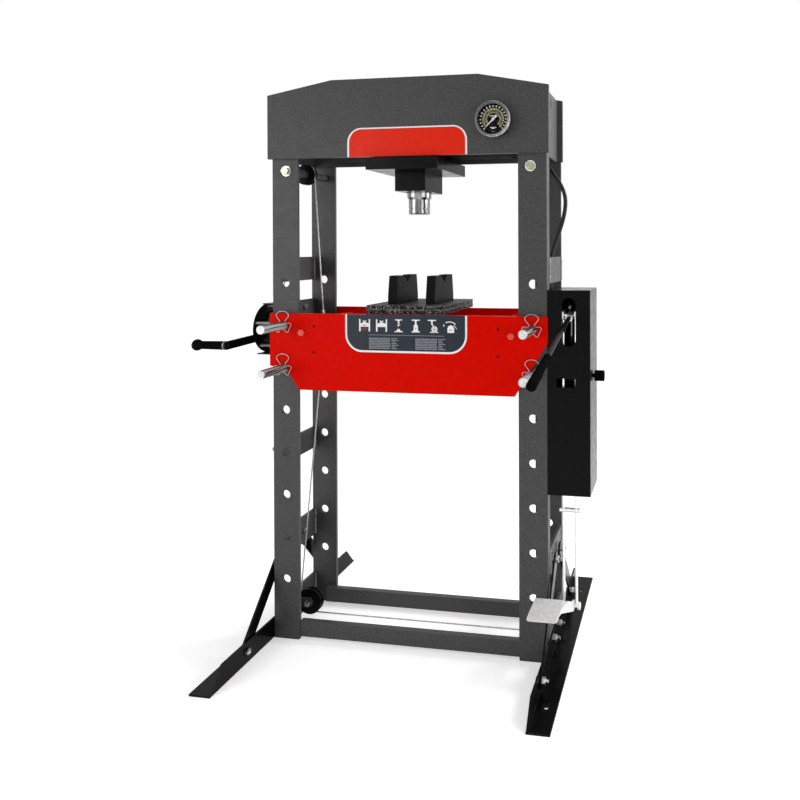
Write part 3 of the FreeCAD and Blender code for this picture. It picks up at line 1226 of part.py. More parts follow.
def stirrup():
    """Two rods from the lever's pin down to the pedal, joined by a sleeve and a bottom bar."""
    body = None
    for side in SIDES:
        x = LEVER_X + side * STIRRUP_SPACING / 2
        bar = rod((x, STIRRUP_Y, STIRRUP_BOTTOM), (x, STIRRUP_Y, STIRRUP_TOP - 14), STIRRUP_R)
        eye = box((x - 3, x + 3), (STIRRUP_Y - 11, STIRRUP_Y + 28), (STIRRUP_TOP - 15, STIRRUP_TOP + 14))
        eye = eye.makeFillet(8, [e for e in eye.Edges if abs(e.Length - 6) < 1e-3])
        slot = box((x - 4, x + 4), (STIRRUP_Y - 6, STIRRUP_Y + 23), (STIRRUP_TOP - 9, STIRRUP_TOP + 5.8))
        eye = eye.cut(slot.makeFillet(4, [e for e in slot.Edges if abs(e.Length - 8) < 1e-3]))
        bar = bar.fuse(eye)
        body = bar if body is None else body.fuse(bar)
    half = STIRRUP_SPACING / 2 + 12
    for z, r in ((STIRRUP_SLEEVE_Z, 7), (STIRRUP_BOTTOM, 6)):
        body = body.fuse(rod((LEVER_X - half, STIRRUP_Y, z), (LEVER_X + half, STIRRUP_Y, z), r))
    body = body.fuse(hexagon((LEVER_X + half - 8, STIRRUP_Y, STIRRUP_BOTTOM), (1, 0, 0), M12[1], M12[2]))
    return body.removeSplitter()


def pedal():
    """A foot plate with round front corners, on an arm that bends out to the stirrup's bottom bar."""
    z, low, wall = PEDAL_Z, STIRRUP_BOTTOM, PEDAL_ARM_WALL
    plate = box(PEDAL_X, PEDAL_Y, (z, z + PEDAL_WALL))
    plate = plate.makeFillet(PEDAL_CORNER, [e for e in plate.Edges if abs(e.Length - PEDAL_WALL) < 1e-3
                                            and e.CenterOfMass.y < PEDAL_Y[0] + 1])
    edge, bar = PEDAL_X[1], LEVER_X + 12
    plan = [(edge - wall, -228), (edge, -228), (edge, -205), (bar, STIRRUP_Y - 12), (bar, STIRRUP_Y + 11),
            (bar - wall, STIRRUP_Y + 11), (bar - wall, STIRRUP_Y - 11), (edge - wall, -204)]
    arm = face([(x, y, low - 20) for x, y in plan]).extrude(V(0, 0, z - low + 20))
    side = [(-228, z), (-228, z - 4), (-205, z - 11), (STIRRUP_Y - 12, low - 12), (STIRRUP_Y + 11, low - 12),
            (STIRRUP_Y + 11, low + 12), (STIRRUP_Y - 8, low + 16), (PEDAL_Y[1] + 4, z)]
    arm = arm.common(plate_x(side, edge - wall - 1, bar - edge + wall + 2))
    body = plate.fuse(arm).cut(rod((bar - wall - 1, STIRRUP_Y, low), (bar + 1, STIRRUP_Y, low), 6))
    return body.removeSplitter()


def release_knob():
    """A fluted knob on the release valve's spindle."""
    x = BOX_X[1] + 4
    knob = rod((x, KNOB_Y, KNOB_Z), (x + KNOB_LENGTH, KNOB_Y, KNOB_Z), KNOB_R)
    for k in range(12):
        a = math.radians(30 * k)
        y, z = KNOB_Y + (KNOB_R + 1.5) * math.cos(a), KNOB_Z + (KNOB_R + 1.5) * math.sin(a)
        knob = knob.cut(rod((x - 1, y, z), (x + KNOB_LENGTH + 1, y, z), 3))
    spindle = rod((PUMP_BLOCK[1] - 16, KNOB_Y, KNOB_Z), (x, KNOB_Y, KNOB_Z), 6)
    return knob.fuse(spindle)


def hose_union():
    """The pump's outlet: a ferrule that takes the hose, on a steel pipe from inside the box."""
    x, y = HOSE_POINTS[-1][:2]
    low, high = FERRULE_BAND
    body = hexagon((x, y, high), (0, 0, -1), 22, high - low)
    body = body.cut(rod((x, y, HOSE_POINTS[-1][2]), (x, y, high + 1), HOSE_R))
    return body.fuse(cord("outlet_pipe", PIPE_POINTS, PIPE_R))


# ---------------------------------------------------------------- write the pieces
def both(make):
    """The same piece for the left side and the right side."""
    return [make(-1), make(1)]


def build():
    parts = {}
    parts["front_uprights"] = both(front_upright)
    parts["rear_uprights"] = both(rear_upright)
    parts["side_spacers"] = [side_spacer(s, band) for s in SIDES for band in SPACER_BANDS]
    parts["side_spacers"] += [winch_mount(), pump_mount()]
    parts["feet"] = both(foot)
    parts["braces"] = [brace(s, front) for s in SIDES for front in (True, False)]
    parts["pulley_brackets"] = pulley_bracket(-1) + pulley_bracket(1) + tie_sleeves()
    for side, word in ((-1, "left"), (1, "right")):
        parts[word + "_upper_pulley"] = pulley(side, UPPER_PULLEY, M16[0] + RUN_CLEARANCE)
        parts[word + "_lower_pulley"] = lower_pulley(side)
    parts["beam_plates"] = [beam_front_plate(), beam_rear_plate()]
    parts["cross_rails"] = both(beam_end_plate) + beam_rails() + [lower_rail(True), lower_rail(False)]
    parts["frame_bolts"] = tie_bolts() + brace_bolts() + foot_bolts() + lower_axles() + [side_stub()]
    parts["frame_nuts"] = tie_nuts() + brace_nuts() + foot_nuts() + lower_axle_nuts()
    parts["frame_nuts"] += tie_washers() + brace_packers()
    parts["table_plates"] = [table_front_plate(), table_plate(TABLE_REAR_Y)]
    parts["table_webs"] = both(table_web) + table_tubes()
    parts["table_bolts"] = table_bolts() + table_nuts()
    for name, (x, z) in pin_places().items():
        parts[name + "_pin"] = table_pin(x, z)
        parts[name + "_clip"] = pin_clip(x, z)
    parts["arbor_plates"] = arbor_plates()
    parts["vee_blocks"] = both(vee_block)
    parts["saddle"] = [saddle(), hanger_plate()]
    parts["head_fittings"] = head_studs() + cylinder_ports()
    parts["cylinder"] = cylinder()
    parts["cylinder_guard"] = guard()
    parts["ram"] = [ram(), ram_tip()]
    parts["head_panel"] = head_panel()
    parts["table_panel"] = table_panel()
    parts["gauge_case"] = gauge_case()
    parts["gauge_dial"] = gauge_dial()
    parts["gauge_pointer"] = gauge_pointer()
    parts["gauge_glass"] = gauge_glass()
    parts["rope_eyes"] = rope_eyes()
    parts["lift_rope"] = lift_rope()
    parts["level_rope"] = level_rope()
    parts["winch_frame"] = winch_frame()
    parts["winch_bolts"] = winch_tie_bars() + winch_screws() + winch_nuts()
    drum, coil = winch_drum()
    parts["winch_drum"] = drum
    parts["rope_coil"] = rope_coil(*coil)
    parts["crank_shaft"] = [crank_shaft(), grip_pin()]
    parts["crank_arm"] = crank_arm()
    parts["crank_grip"] = crank_grip()
    parts["pump_box"] = pump_box()
    parts["pump_block"] = [pump_block(), pivot_pin(), hose_union()]
    parts["pump_plunger"] = plunger()
    parts["lever_socket"] = lever_socket()
    parts["lever_tube"] = lever_tube()
    parts["lever_grip"] = lever_grip()
    parts["stirrup"] = stirrup()
    parts["pedal"] = pedal()
    parts["release_knob"] = release_knob()
    parts["pressure_hose"] = cord("pressure_hose", HOSE_POINTS, HOSE_R)
    parts["gauge_hose"] = cord("gauge_hose", GAUGE_HOSE_POINTS, GAUGE_HOSE_R)
    return parts


os.makedirs("parts", exist_ok=True)
made = build()
for name, shape in made.items():
    solids = [s for item in (shape if isinstance(shape, list) else [shape]) for s in item.Solids]
    for solid in solids:
        if not solid.isValid() or solid.Volume <= 0:
            print("BAD SOLID", name, solid.Volume)
    whole = solids[0] if len(solids) == 1 else Part.makeCompound(solids)
    whole.exportStep("parts/" + name + ".step")
print(len(made), "nodes written")
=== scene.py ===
"""Finishes, markings, ropes and hoses for the workshop press, on the frame that the CAD model gives."""

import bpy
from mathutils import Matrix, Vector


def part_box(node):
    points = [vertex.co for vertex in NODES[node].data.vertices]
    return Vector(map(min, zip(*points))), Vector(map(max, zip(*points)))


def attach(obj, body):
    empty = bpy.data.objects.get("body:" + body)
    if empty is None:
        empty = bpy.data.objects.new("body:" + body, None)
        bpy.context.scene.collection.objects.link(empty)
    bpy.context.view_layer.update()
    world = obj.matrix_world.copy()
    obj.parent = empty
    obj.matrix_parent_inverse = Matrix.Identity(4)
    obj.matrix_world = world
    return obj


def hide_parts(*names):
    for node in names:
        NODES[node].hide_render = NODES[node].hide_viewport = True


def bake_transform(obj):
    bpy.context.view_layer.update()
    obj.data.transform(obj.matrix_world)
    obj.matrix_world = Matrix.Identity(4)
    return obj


bl_info = {
    "name": "Workshop press looks",
    "version": (1, 1, 0),
    "blender": (4, 5, 0),
    "location": "View3D > Sidebar > Press",
    "description": "Paints the press, lays its ropes and hoses and draws its panels and gauge",
    "category": "Object",
}

from math import cos, pi, radians, sin

import bpy
from bpy.props import FloatProperty, FloatVectorProperty, IntProperty, PointerProperty
from mathutils import Matrix, Vector

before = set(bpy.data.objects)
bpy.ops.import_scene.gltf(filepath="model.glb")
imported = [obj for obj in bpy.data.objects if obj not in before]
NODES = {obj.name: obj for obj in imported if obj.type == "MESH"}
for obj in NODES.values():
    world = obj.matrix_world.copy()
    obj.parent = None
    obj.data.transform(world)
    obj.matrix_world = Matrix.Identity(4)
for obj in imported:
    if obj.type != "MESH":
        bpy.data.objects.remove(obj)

# Routes of the ropes and hoses, in metres: the CAD model's points, with some near the turns of long runs.
LIFT_ROPE = [(-0.520, 0, 1.017), (-0.4468, 0, 1.5194), (-0.4386, 0, 1.5758), (-0.383, 0, 1.5758),
             (-0.3795, 0, 1.5189), (-0.352, 0, 1.070)]
LEVEL_ROPE = [(-0.352, 0, 0.961), (-0.4369, 0, 0.1168), (-0.4459, 0, 0.0272), (-0.3559, 0, 0.0272),
              (0.3518, 0, 0.0272), (0.4418, 0, 0.0272), (0.4419, 0, 0.1172), (0.4428, 0, 1.5188),
              (0.4428, 0, 1.5758), (0.383, 0, 1.5758), (0.3795, 0, 1.5189), (0.352, 0, 1.070)]
PRESSURE_HOSE = [(0.100, 0, 1.690), (0.210, 0, 1.690), (0.335, 0.035, 1.660), (0.412, 0.057, 1.602),
                 (0.440, 0.057, 1.552), (0.492, 0.057, 1.478), (0.490, 0.057, 1.405), (0.462, 0.054, 1.320),
                 (0.4445, 0.046, 1.268), (0.4445, 0.033, 1.222), (0.4445, 0.025, 1.182),
                 (0.4445, 0.025, 1.146)]
GAUGE_HOSE = [(0.095, -0.040, 1.730), (0.165, -0.040, 1.730), (0.235, -0.045, 1.715), (0.290, -0.060, 1.695),
              (0.302, -0.097, 1.687)]

# Where each hose has stopped bending and stays with the frame, in metres.
PRESSURE_FIXED = (0.435, 0, 1.61)
GAUGE_FIXED = (0.300, 0, 1.69)

# Weld seams of the side frames, in metres: ends of each run, the runs at each place across, and their depths.
SEAM_RUNS = ((0.004, 0.100), (0.246, 0.335), (0.564, 0.636), (1.179, 1.258))
SEAMS = {0.454: SEAM_RUNS, 0.464: SEAM_RUNS[1::2]}
SEAM_DEPTHS = (0.1175, -0.0825)
SEAM_STEP = 0.0009
SEAM_SIDES = 8

# A wire rope: point rings in a turn of its strands, a strand's radius as a share of the rope, and its sides.
RINGS_PER_LAY = 9
STRAND_SHARE = 0.19
STRAND_SIDES = 6

# Bolts above this height, in metres, belong to the beam.
BEAM_LEVEL = 1.2

# The first words of the names of the pins, clips and pulleys.
TABLE_ENDS = [side + "_" + level for side in ("left", "right") for level in ("lower", "upper")]

# The lamps by the setting of their power: place, target and size, in metres.
LAMPS = {"key": ((-2.2, -2.5, 1.35), (-0.15, 0, 0.80), 1.8), "fill": ((2.9, -1.6, 1.3), (0.3, 0, 0.9), 1.6),
         "side": ((2.6, 0.7, 2.3), (0.3, 0, 1.75), 1.4), "top": ((0.2, 0.6, 3.4), (0, 0, 1.0), 1.6)}

# The floor: half its width, and its glow at the two distances from the middle between which it grows.
FLOOR_HALF = 14.0
FLOOR_GLOW = (0.42, 0.68)
GLOW_REACH = (1.0, 6.0)
WHITE = (1, 1, 1, 1)

# The corners of a square, going round.
CORNERS = ((-1, -1), (1, -1), (1, 1), (-1, 1))


def paint(name, description, colour):
    """A colour setting of the panel."""
    return FloatVectorProperty(name=name, description=description, default=colour, size=3, subtype="COLOR",
                               min=0.0, max=1.0)


def length(name, description, metres):
    """A size setting of the panel, in metres."""
    return FloatProperty(name=name, description=description, default=metres, unit="LENGTH", precision=4)


def share(name, description, value):
    """A setting from 0 to 1."""
    return FloatProperty(name=name, description=description, default=value, subtype="FACTOR", min=0, max=1)


def tilt(name, description, value):
    """A tilt of the camera, in radians."""
    return FloatProperty(name=name, description=description, default=value, subtype="ANGLE")


def power(name, description, watts):
    """The power of a lamp."""
    return FloatProperty(name=name, description=description, default=watts, unit="POWER")


class PressFinish(bpy.types.PropertyGroup):
    frame_grey: paint("Frame grey", "Enamel of the uprights and the beam", (0.058, 0.058, 0.058))
    table_red: paint("Table red", "Enamel of the height-adjustable table", (0.70, 0.004, 0.0006))
    # The bolt heads carry the table's enamel; their lighter red is a painted highlight.
    lit_bolt_red: paint("Table bolts", "Lighter enamel on the table's bolt heads", (0.80, 0.10, 0.065))
    black: paint("Black", "Powder coat of feet, winch and pump box", (0.0028, 0.0028, 0.0030))
    zinc: paint("Zinc", "Plated nuts, lower bolts, stirrup, rope eyes and pin ends", (0.80, 0.80, 0.79))
    yellow_zinc: paint("Yellow zinc", "Plated bolts of the beam", (0.40, 0.42, 0.30))
    pedal_grey: paint("Pedal", "Plated sheet of the pedal", (0.70, 0.70, 0.69))
    dull_zinc: paint("Dull zinc", "Drum, shaft and bolts of the winch", (0.22, 0.22, 0.22))
    steel: paint("Steel", "Drawn steel of the pins", (0.25, 0.335, 0.33))
    wire: paint("Clips", "Spring wire of the clips", (0.42, 0.41, 0.40))
    ram_steel: paint("Ram", "Ground steel of the ram and the pump's plunger", (0.24, 0.24, 0.24))
    dark_chrome: paint("Lever", "Dark plating of the pump's lever", (0.006, 0.006, 0.0065))
    iron: paint("Cast iron", "Pulleys and the outer end of the crank's shaft", (0.006, 0.006, 0.006))
    scale_dark: paint("Scale", "Darkest mill scale of the arbor plates", (0.003, 0.003, 0.0031))
    scale_light: paint("Bare scale", "Lightest mill scale of the arbor plates", (0.26, 0.26, 0.255))
    vee_dark: paint("Vee blocks", "Blackened steel of the vee blocks", (0.0035, 0.0035, 0.0037))
    panel_red: paint("Head panel", "Plate on the beam", (0.80, 0.022, 0.006))
    panel_dark: paint("Table panel", "Plate on the table", (0.026, 0.034, 0.047))
    marking: paint("Markings", "Printed borders, symbols and gauge scale", (0.90, 0.88, 0.87))
    text_grey: paint("Text bars", "Printed rows on the table's plate", (0.24, 0.26, 0.28))
    accent: paint("Accent", "Dark red inside the printed symbols", (0.12, 0.012, 0.018))
    rim: paint("Gauge rim", "Plated rim of the gauge", (0.060, 0.060, 0.060))
    dial_yellow: paint("Dial ring", "Inner scale of the gauge", (0.62, 0.58, 0.32))
    grip_black: paint("Grips", "Plastic of the hand grips", (0.0045, 0.0045, 0.0048))
    rubber: paint("Hose", "Rubber of the hoses", (0.005, 0.005, 0.0055))
    rope: paint("Wire rope", "Galvanised wire", (0.50, 0.50, 0.49))
    enamel_grain: length("Enamel grain", "Size of the bumps in the frame's enamel", 0.003)
    enamel_relief: length("Enamel relief", "Height of those bumps", 0.00010)
    edge_round: length("Edge radius", "Rounding that shows on sheet metal edges", 0.0012)
    # Lighter edges: partly wear, partly a painted highlight.
    rubbed_and_lit_edges: share("Edge wear", "How much lighter the paint is on edges", 0.22)


class PressDetail(bpy.types.PropertyGroup):
    rope_thickness: length("Rope", "Diameter of the wire ropes", 0.005)
    rope_lay: length("Rope lay", "Length of one turn of a rope's strands", 0.034)
    rope_strands: IntProperty(name="Strands", description="Strands in a rope", default=6, min=3, max=8)
    hose_thickness: length("Hose", "Diameter of the pressure hose", 0.014)
    gauge_hose_thickness: length("Gauge hose", "Diameter of the gauge's hose", 0.008)
    border: length("Border", "Width of the white line beside each plate", 0.0062)
    print_rise: length("Print rise", "How far printed shapes stand off their plate", 0.0003)
    symbol: length("Symbol", "Height of a symbol on the table's plate", 0.0415)
    seam: length("Weld seam", "Radius of the weld seams", 0.0042)


class PressCamera(bpy.types.PropertyGroup):
    place: FloatVectorProperty(name="Place", description="Where the camera stands", subtype="XYZ",
                               unit="LENGTH", size=3, default=(0.87697, -2.10979, 1.28913))
    turn: tilt("Turn", "Turn to the left", 0.15336)
    dip: tilt("Dip", "Downward tilt", 0.00422)
    roll: tilt("Roll", "Roll about the view", -0.00247)
    lens: FloatProperty(name="Lens", description="Focal length for a 36 mm sensor", default=29.542)
    shift_x: FloatProperty(name="Shift X", description="Sideways shift of the frame", default=-0.22583)
    shift_y: FloatProperty(name="Shift Y", description="Upward shift of the frame", default=-0.18647)
    key: power("Key lamp", "Power of the lamp on the front left", 33.0)
    fill: power("Fill lamp", "Power of the lamp on the front right", 24.0)
    side: power("Side lamp", "Power of the lamp high on the right", 78.0)
    top: power("Top lamp", "Power of the lamp above", 20.0)
    room: FloatProperty(name="Room light", description="Strength of the light from all round", default=0.42)


# -------------------- finishes
def new_finish(name, shine=0.5):
    """A material, its node tree and its shader."""
    material = bpy.data.materials.new(name)
    material.use_nodes = True
    shader = material.node_tree.nodes["Principled BSDF"]
    shader.inputs["Specular IOR Level"].default_value = shine
    return material, material.node_tree, shader


def feed(tree, socket, value):
    """Gives a socket its value, or links it where the value is another socket."""
    if isinstance(value, bpy.types.NodeSocket):
        tree.links.new(value, socket)
    else:
        socket.default_value = value


def add(tree, kind, **values):
    """A node whose named sockets or settings get these values."""
    made = tree.nodes.new(kind)
    for key, value in values.items():
        label = key.replace("_", " ")
        socket = next((s for s in made.inputs if s.name.lower() == label.lower()), None)
        if socket is None:
            setattr(made, key, value)
        else:
            feed(tree, socket, value)
    return made


def connect(tree, shader, tone, roughness, normal=None):
    """Gives the shader its colour, its roughness and its bumps."""
    for key, value in (("Base Color", tone), ("Roughness", roughness), ("Normal", normal)):
        if value is not None:
            tree.links.new(value, shader.inputs[key])


def place(tree):
    """Where a point of the piece is, in the frame's metres, whatever body it moves with."""
    return tree.nodes.new("ShaderNodeTexCoord").outputs["Object"]


def grain(tree, size, detail=3.0, where=None):
    """Noise whose features are about size metres."""
    noise = add(tree, "ShaderNodeTexNoise", vector=where or place(tree), scale=1 / size, detail=detail)
    return noise.outputs["Fac"]


def spread(tree, value, low, high, from_low=0.3, from_high=0.7):
    """The value moved from one range to another."""
    ranged = add(tree, "ShaderNodeMapRange", value=value)
    for key, number in zip(("From Min", "From Max", "To Min", "To Max"), (from_low, from_high, low, high)):
        ranged.inputs[key].default_value = number
    return ranged.outputs["Result"]


def combined(tree, operation, first, second):
    """Two values added, multiplied and so on; each is a number or a socket."""
    node = add(tree, "ShaderNodeMath", operation=operation)
    for socket, value in zip(node.inputs, (first, second)):
        feed(tree, socket, value)
    return node.outputs[0]


def colour_between(tree, factor, first, second):
    """A colour from first to second by factor; each is a colour or a socket."""
    mixed = tree.nodes.new("ShaderNodeMix")
    mixed.data_type = "RGBA"
    tree.links.new(factor, mixed.inputs["Factor"])
    for socket, colour in ((mixed.inputs[6], first), (mixed.inputs[7], second)):
        feed(tree, socket, colour if isinstance(colour, bpy.types.NodeSocket) else (*colour, 1))
    return mixed.outputs[2]


def seen_rays(tree):
    """1 for rays of the camera and for those that mirrors and glass send on, else 0."""
    path = tree.nodes.new("ShaderNodeLightPath")
    mirrored = combined(tree, "MAXIMUM", path.outputs["Is Glossy Ray"], path.outputs["Is Transmission Ray"])
    return combined(tree, "MAXIMUM", path.outputs["Is Camera Ray"], mirrored)


def shade(colour, factor):
    """The colour made lighter or darker."""
    return tuple(min(1.0, c * factor) for c in colour)


def soft_edge(tree, radius):
    """A normal that rounds sharp edges, and how near a point is to one."""
    rounded = add(tree, "ShaderNodeBevel", radius=radius, samples=4).outputs["Normal"]
    flat = tree.nodes.new("ShaderNodeNewGeometry").outputs["Normal"]
    alike = add(tree, "ShaderNodeVectorMath", operation="DOT_PRODUCT")
    tree.links.new(rounded, alike.inputs[0])
    tree.links.new(flat, alike.inputs[1])
    return rounded, spread(tree, alike.outputs["Value"], 1.0, 0.0, 0.80, 0.995)


def relief(tree, height, metres, normal=None):
    """Bumps of that height in metres."""
    bump = add(tree, "ShaderNodeBump", height=height, distance=metres, strength=1.0)
    if normal is not None:
        tree.links.new(normal, bump.inputs["Normal"])
    return bump.outputs["Normal"]


def edges_worn_and_lit(tree, tone, near_edge, wear_and_sheen, edge_tone):
    """The tone with another one along its edges, more of it in some places than in others: partly wear and
    partly painted light, a painted highlight where the edge tone is lighter and painted shade where it is
    darker.
    """
    patchy = combined(tree, "MULTIPLY", near_edge, spread(tree, grain(tree, 0.02, 5.0), 0.2 * wear_and_sheen, wear_and_sheen))
    return colour_between(tree, patchy, tone, edge_tone)


def enamel(name, colour, gloss, shine, mottle, grain_size=0.003, height=0.00004, wear_and_sheen=0.22, edge=0.0012):
    """Sprayed enamel: a fine grain, slightly uneven colour and gloss, and edges nearer a light grey, partly
    wear and partly a painted highlight.
    """
    material, tree, shader = new_finish(name, shine)
    normal, near_edge = soft_edge(tree, edge)
    patches = spread(tree, grain(tree, grain_size * 6, 4.0), 0, 1)
    tone = colour_between(tree, patches, shade(colour, 1 - mottle), shade(colour, 1 + mottle))
    tone = edges_worn_and_lit(tree, tone, near_edge, wear_and_sheen, tuple(0.5 * c + 0.22 for c in colour))
    uneven = spread(tree, grain(tree, 0.03, 4.0), gloss - 0.05, gloss + 0.07)
    connect(tree, shader, tone, uneven, relief(tree, grain(tree, grain_size, 2.0), height, normal))
    return material


def rim_plating(colour, centre):
    """Plating of the gauge's rim with painted highlights: lighter along its outer and inner edge and on its
    lower right.
    """
    # Painted highlights: where the light edge lines begin, measured from the centre, and how far the
    # highlight on the lower right reaches.
    outer_edge, inner_edge, highlight_reach = (0.0533, 0.0541), (0.0474, 0.0484), (0.02, 0.07)
    highlit = (0.80, 0.80, 0.77)
    material, tree, shader = new_finish("rim_plating")
    normal, _ = soft_edge(tree, 0.0012)
    apart = add(tree, "ShaderNodeSeparateXYZ", vector=place(tree))
    across, up = (combined(tree, "SUBTRACT", apart.outputs[axis], c) for axis, c in zip("XZ", centre))
    radius = combined(tree, "SQRT", combined(tree, "ADD", combined(tree, "MULTIPLY", across, across),
                                             combined(tree, "MULTIPLY", up, up)), 0)
    edge_highlights = combined(tree, "MAXIMUM", spread(tree, radius, 0, 1, *outer_edge),
                     spread(tree, radius, 1, 0, *inner_edge))
    lower_right_highlight = spread(tree, combined(tree, "SUBTRACT", across, up), 0, 0.55, *highlight_reach)
    cloudy = spread(tree, grain(tree, 0.012, 4.0), 0.35, 1.0)
    highlight_amount = combined(tree, "MULTIPLY", combined(tree, "MAXIMUM", edge_highlights, lower_right_highlight), cloudy)
    tone = colour_between(tree, highlight_amount, colour, highlit)
    connect(tree, shader, tone, spread(tree, grain(tree, 0.006, 3.0), 0.26, 0.40),
            relief(tree, grain(tree, 0.002, 3.0), 0.00003, normal))
    return material


def hammered(name, colour, look):
    """Hammered enamel: round dimples with a fine grain between them."""
    material, tree, shader = new_finish(name, 0.25)
    normal, near_edge = soft_edge(tree, look.edge_round)
    cells = add(tree, "ShaderNodeTexVoronoi", vector=place(tree), scale=1 / look.enamel_grain)
    cells.feature = "SMOOTH_F1"
    speck = combined(tree, "ADD", cells.outputs["Distance"], grain(tree, look.enamel_grain * 0.5, 2.0))
    dimples = spread(tree, speck, 0, 1, 0.45, 1.25)
    tone = colour_between(tree, dimples, shade(colour, 1.45), shade(colour, 0.62))
    # Light grey on the frame's edges: partly wear, partly a painted highlight.
    worn_and_lit_grey = (0.30, 0.30, 0.30)
    tone = edges_worn_and_lit(tree, tone, near_edge, look.rubbed_and_lit_edges, worn_and_lit_grey)
    connect(tree, shader, tone, spread(tree, grain(tree, 0.04, 4.0), 0.38, 0.52),
            relief(tree, speck, look.enamel_relief, normal))
    return material


def bare_metal(name, colour, roughness, stain_and_sheen, streak=(1, 1, 1), edge=0.0006, metallic=1.0, tight=0.12,
               second=None, outline=None, shine=0.5):
    """Plated or machined metal, cloudy and scratched along one direction; its clouds are partly stains and
    partly painted highlights and reflections.

    outline is a tone painted along its edges as shade. second gives an axis, a level, a side and a colour,
    which the metal has above the level where the side is 1 and below it where the side is 0.
    """
    scratch, outline_shade_amount = 0.0016, 1.5
    material, tree, shader = new_finish(name, shine)
    shader.inputs["Metallic"].default_value = metallic
    stretched = add(tree, "ShaderNodeMapping", vector=place(tree), scale=streak).outputs[0]
    cloud = combined(tree, "ADD", combined(tree, "MULTIPLY", grain(tree, 0.015, 4.0, stretched), 0.5),
                     combined(tree, "MULTIPLY", grain(tree, 0.005, 3.0, stretched), 0.5))
    line = grain(tree, scratch, 4.0, stretched)
    # Lighter and darker clouds: partly stains, partly painted highlights and reflections.
    share_of_light = spread(tree, cloud, 0, 1, 0.5 - tight, 0.5 + tight)
    tone = colour_between(tree, share_of_light, shade(colour, 1 - stain_and_sheen), shade(colour, 1 + stain_and_sheen * 0.6))
    if second is not None:
        axis, level, above, other_colour = second
        along = add(tree, "ShaderNodeSeparateXYZ", vector=place(tree)).outputs[axis]
        other = colour_between(tree, share_of_light, shade(other_colour, 0.8), shade(other_colour, 1.1))
        tone = colour_between(tree, spread(tree, along, 1 - above, above, level, level + 0.0005), tone, other)
    normal, near_edge = soft_edge(tree, edge)
    if outline is not None:
        tone = edges_worn_and_lit(tree, tone, near_edge, outline_shade_amount, outline)
    connect(tree, shader, tone, spread(tree, line, roughness - 0.07, roughness + 0.10),
            relief(tree, line, 0.00003, normal))
    return material


def mill_scale(name, dark, light, roughness, edge_tone, wear_and_sheen, low, high, metallic):
    """Rolled or blackened steel: flecks from dark, under low, to light, over high, and lighter corners,
    partly rubbed and partly a painted highlight.
    """
    material, tree, shader = new_finish(name, 0.05)
    shader.inputs["Metallic"].default_value = metallic
    normal, near_edge = soft_edge(tree, 0.0016)
    fleck = combined(tree, "ADD", combined(tree, "MULTIPLY", grain(tree, 0.008, 5.0), 0.5),
                     combined(tree, "MULTIPLY", grain(tree, 0.0028, 4.0), 0.5))
    tone = colour_between(tree, spread(tree, fleck, 0, 1, low, high), dark, light)
    tone = edges_worn_and_lit(tree, tone, near_edge, wear_and_sheen, edge_tone)
    connect(tree, shader, tone, spread(tree, fleck, roughness - 0.08, roughness + 0.12),
            relief(tree, fleck, 0.00008, normal))
    return material


def moulded(name, colour, roughness, shine):
    """Moulded plastic or rubber with a fine texture and handling marks."""
    material, tree, shader = new_finish(name, shine)
    marks = spread(tree, grain(tree, 0.012, 4.0), 0, 1)
    tone = colour_between(tree, marks, shade(colour, 0.85), shade(colour, 1.3))
    handled = spread(tree, grain(tree, 0.02, 3.0), roughness - 0.07, roughness + 0.09)
    connect(tree, shader, tone, handled, relief(tree, grain(tree, 0.0012, 2.0), 0.00004))
    return material


def printed(name, colour):
    """Screen-printed ink: almost even, with a slight grain."""
    material, tree, shader = new_finish(name, 0.3)
    speckle = spread(tree, grain(tree, 0.004, 3.0), 0, 1)
    tone = colour_between(tree, speckle, shade(colour, 0.95), shade(colour, 1.04))
    connect(tree, shader, tone, spread(tree, grain(tree, 0.008, 3.0), 0.37, 0.48))
    return material


def clear_glass(name):
    """Thin flat glass with faint smears."""
    material, tree, shader = new_finish(name)
    shader.inputs["Transmission Weight"].default_value = 1.0
    shader.inputs["IOR"].default_value = 1.05
    tree.links.new(spread(tree, grain(tree, 0.02, 4.0), 0.01, 0.06), shader.inputs["Roughness"])
    return material


def assign(material, *names):
    """Gives these CAD nodes the material in every slot."""
    for name in names:
        shown = NODES[name]
        for material_slot in shown.material_slots:
            material_slot.material = material
        if not shown.material_slots:
            shown.data.materials.append(material)


def looks():
    """The panel's finishes."""
    return bpy.context.scene.press_finish


def detail():
    """The panel's sizes."""
    return bpy.context.scene.press_detail


# -------------------- shapes
def new_object(name, data):
    """An object of the scene that shows the data."""
    made = bpy.data.objects.new(name, data)
    bpy.context.scene.collection.objects.link(made)
    return made


def new_piece(name, points, faces, material, body, smooth=False):
    """A mesh piece that rides on a body."""
    mesh = bpy.data.meshes.new(name)
    mesh.from_pydata([tuple(p) for p in points], [], faces)
    mesh.validate()
    mesh.update()
    mesh.materials.append(material)
    for polygon in mesh.polygons:
        polygon.use_smooth = smooth
    piece = new_object(name, mesh)
    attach(piece, body)
    return piece


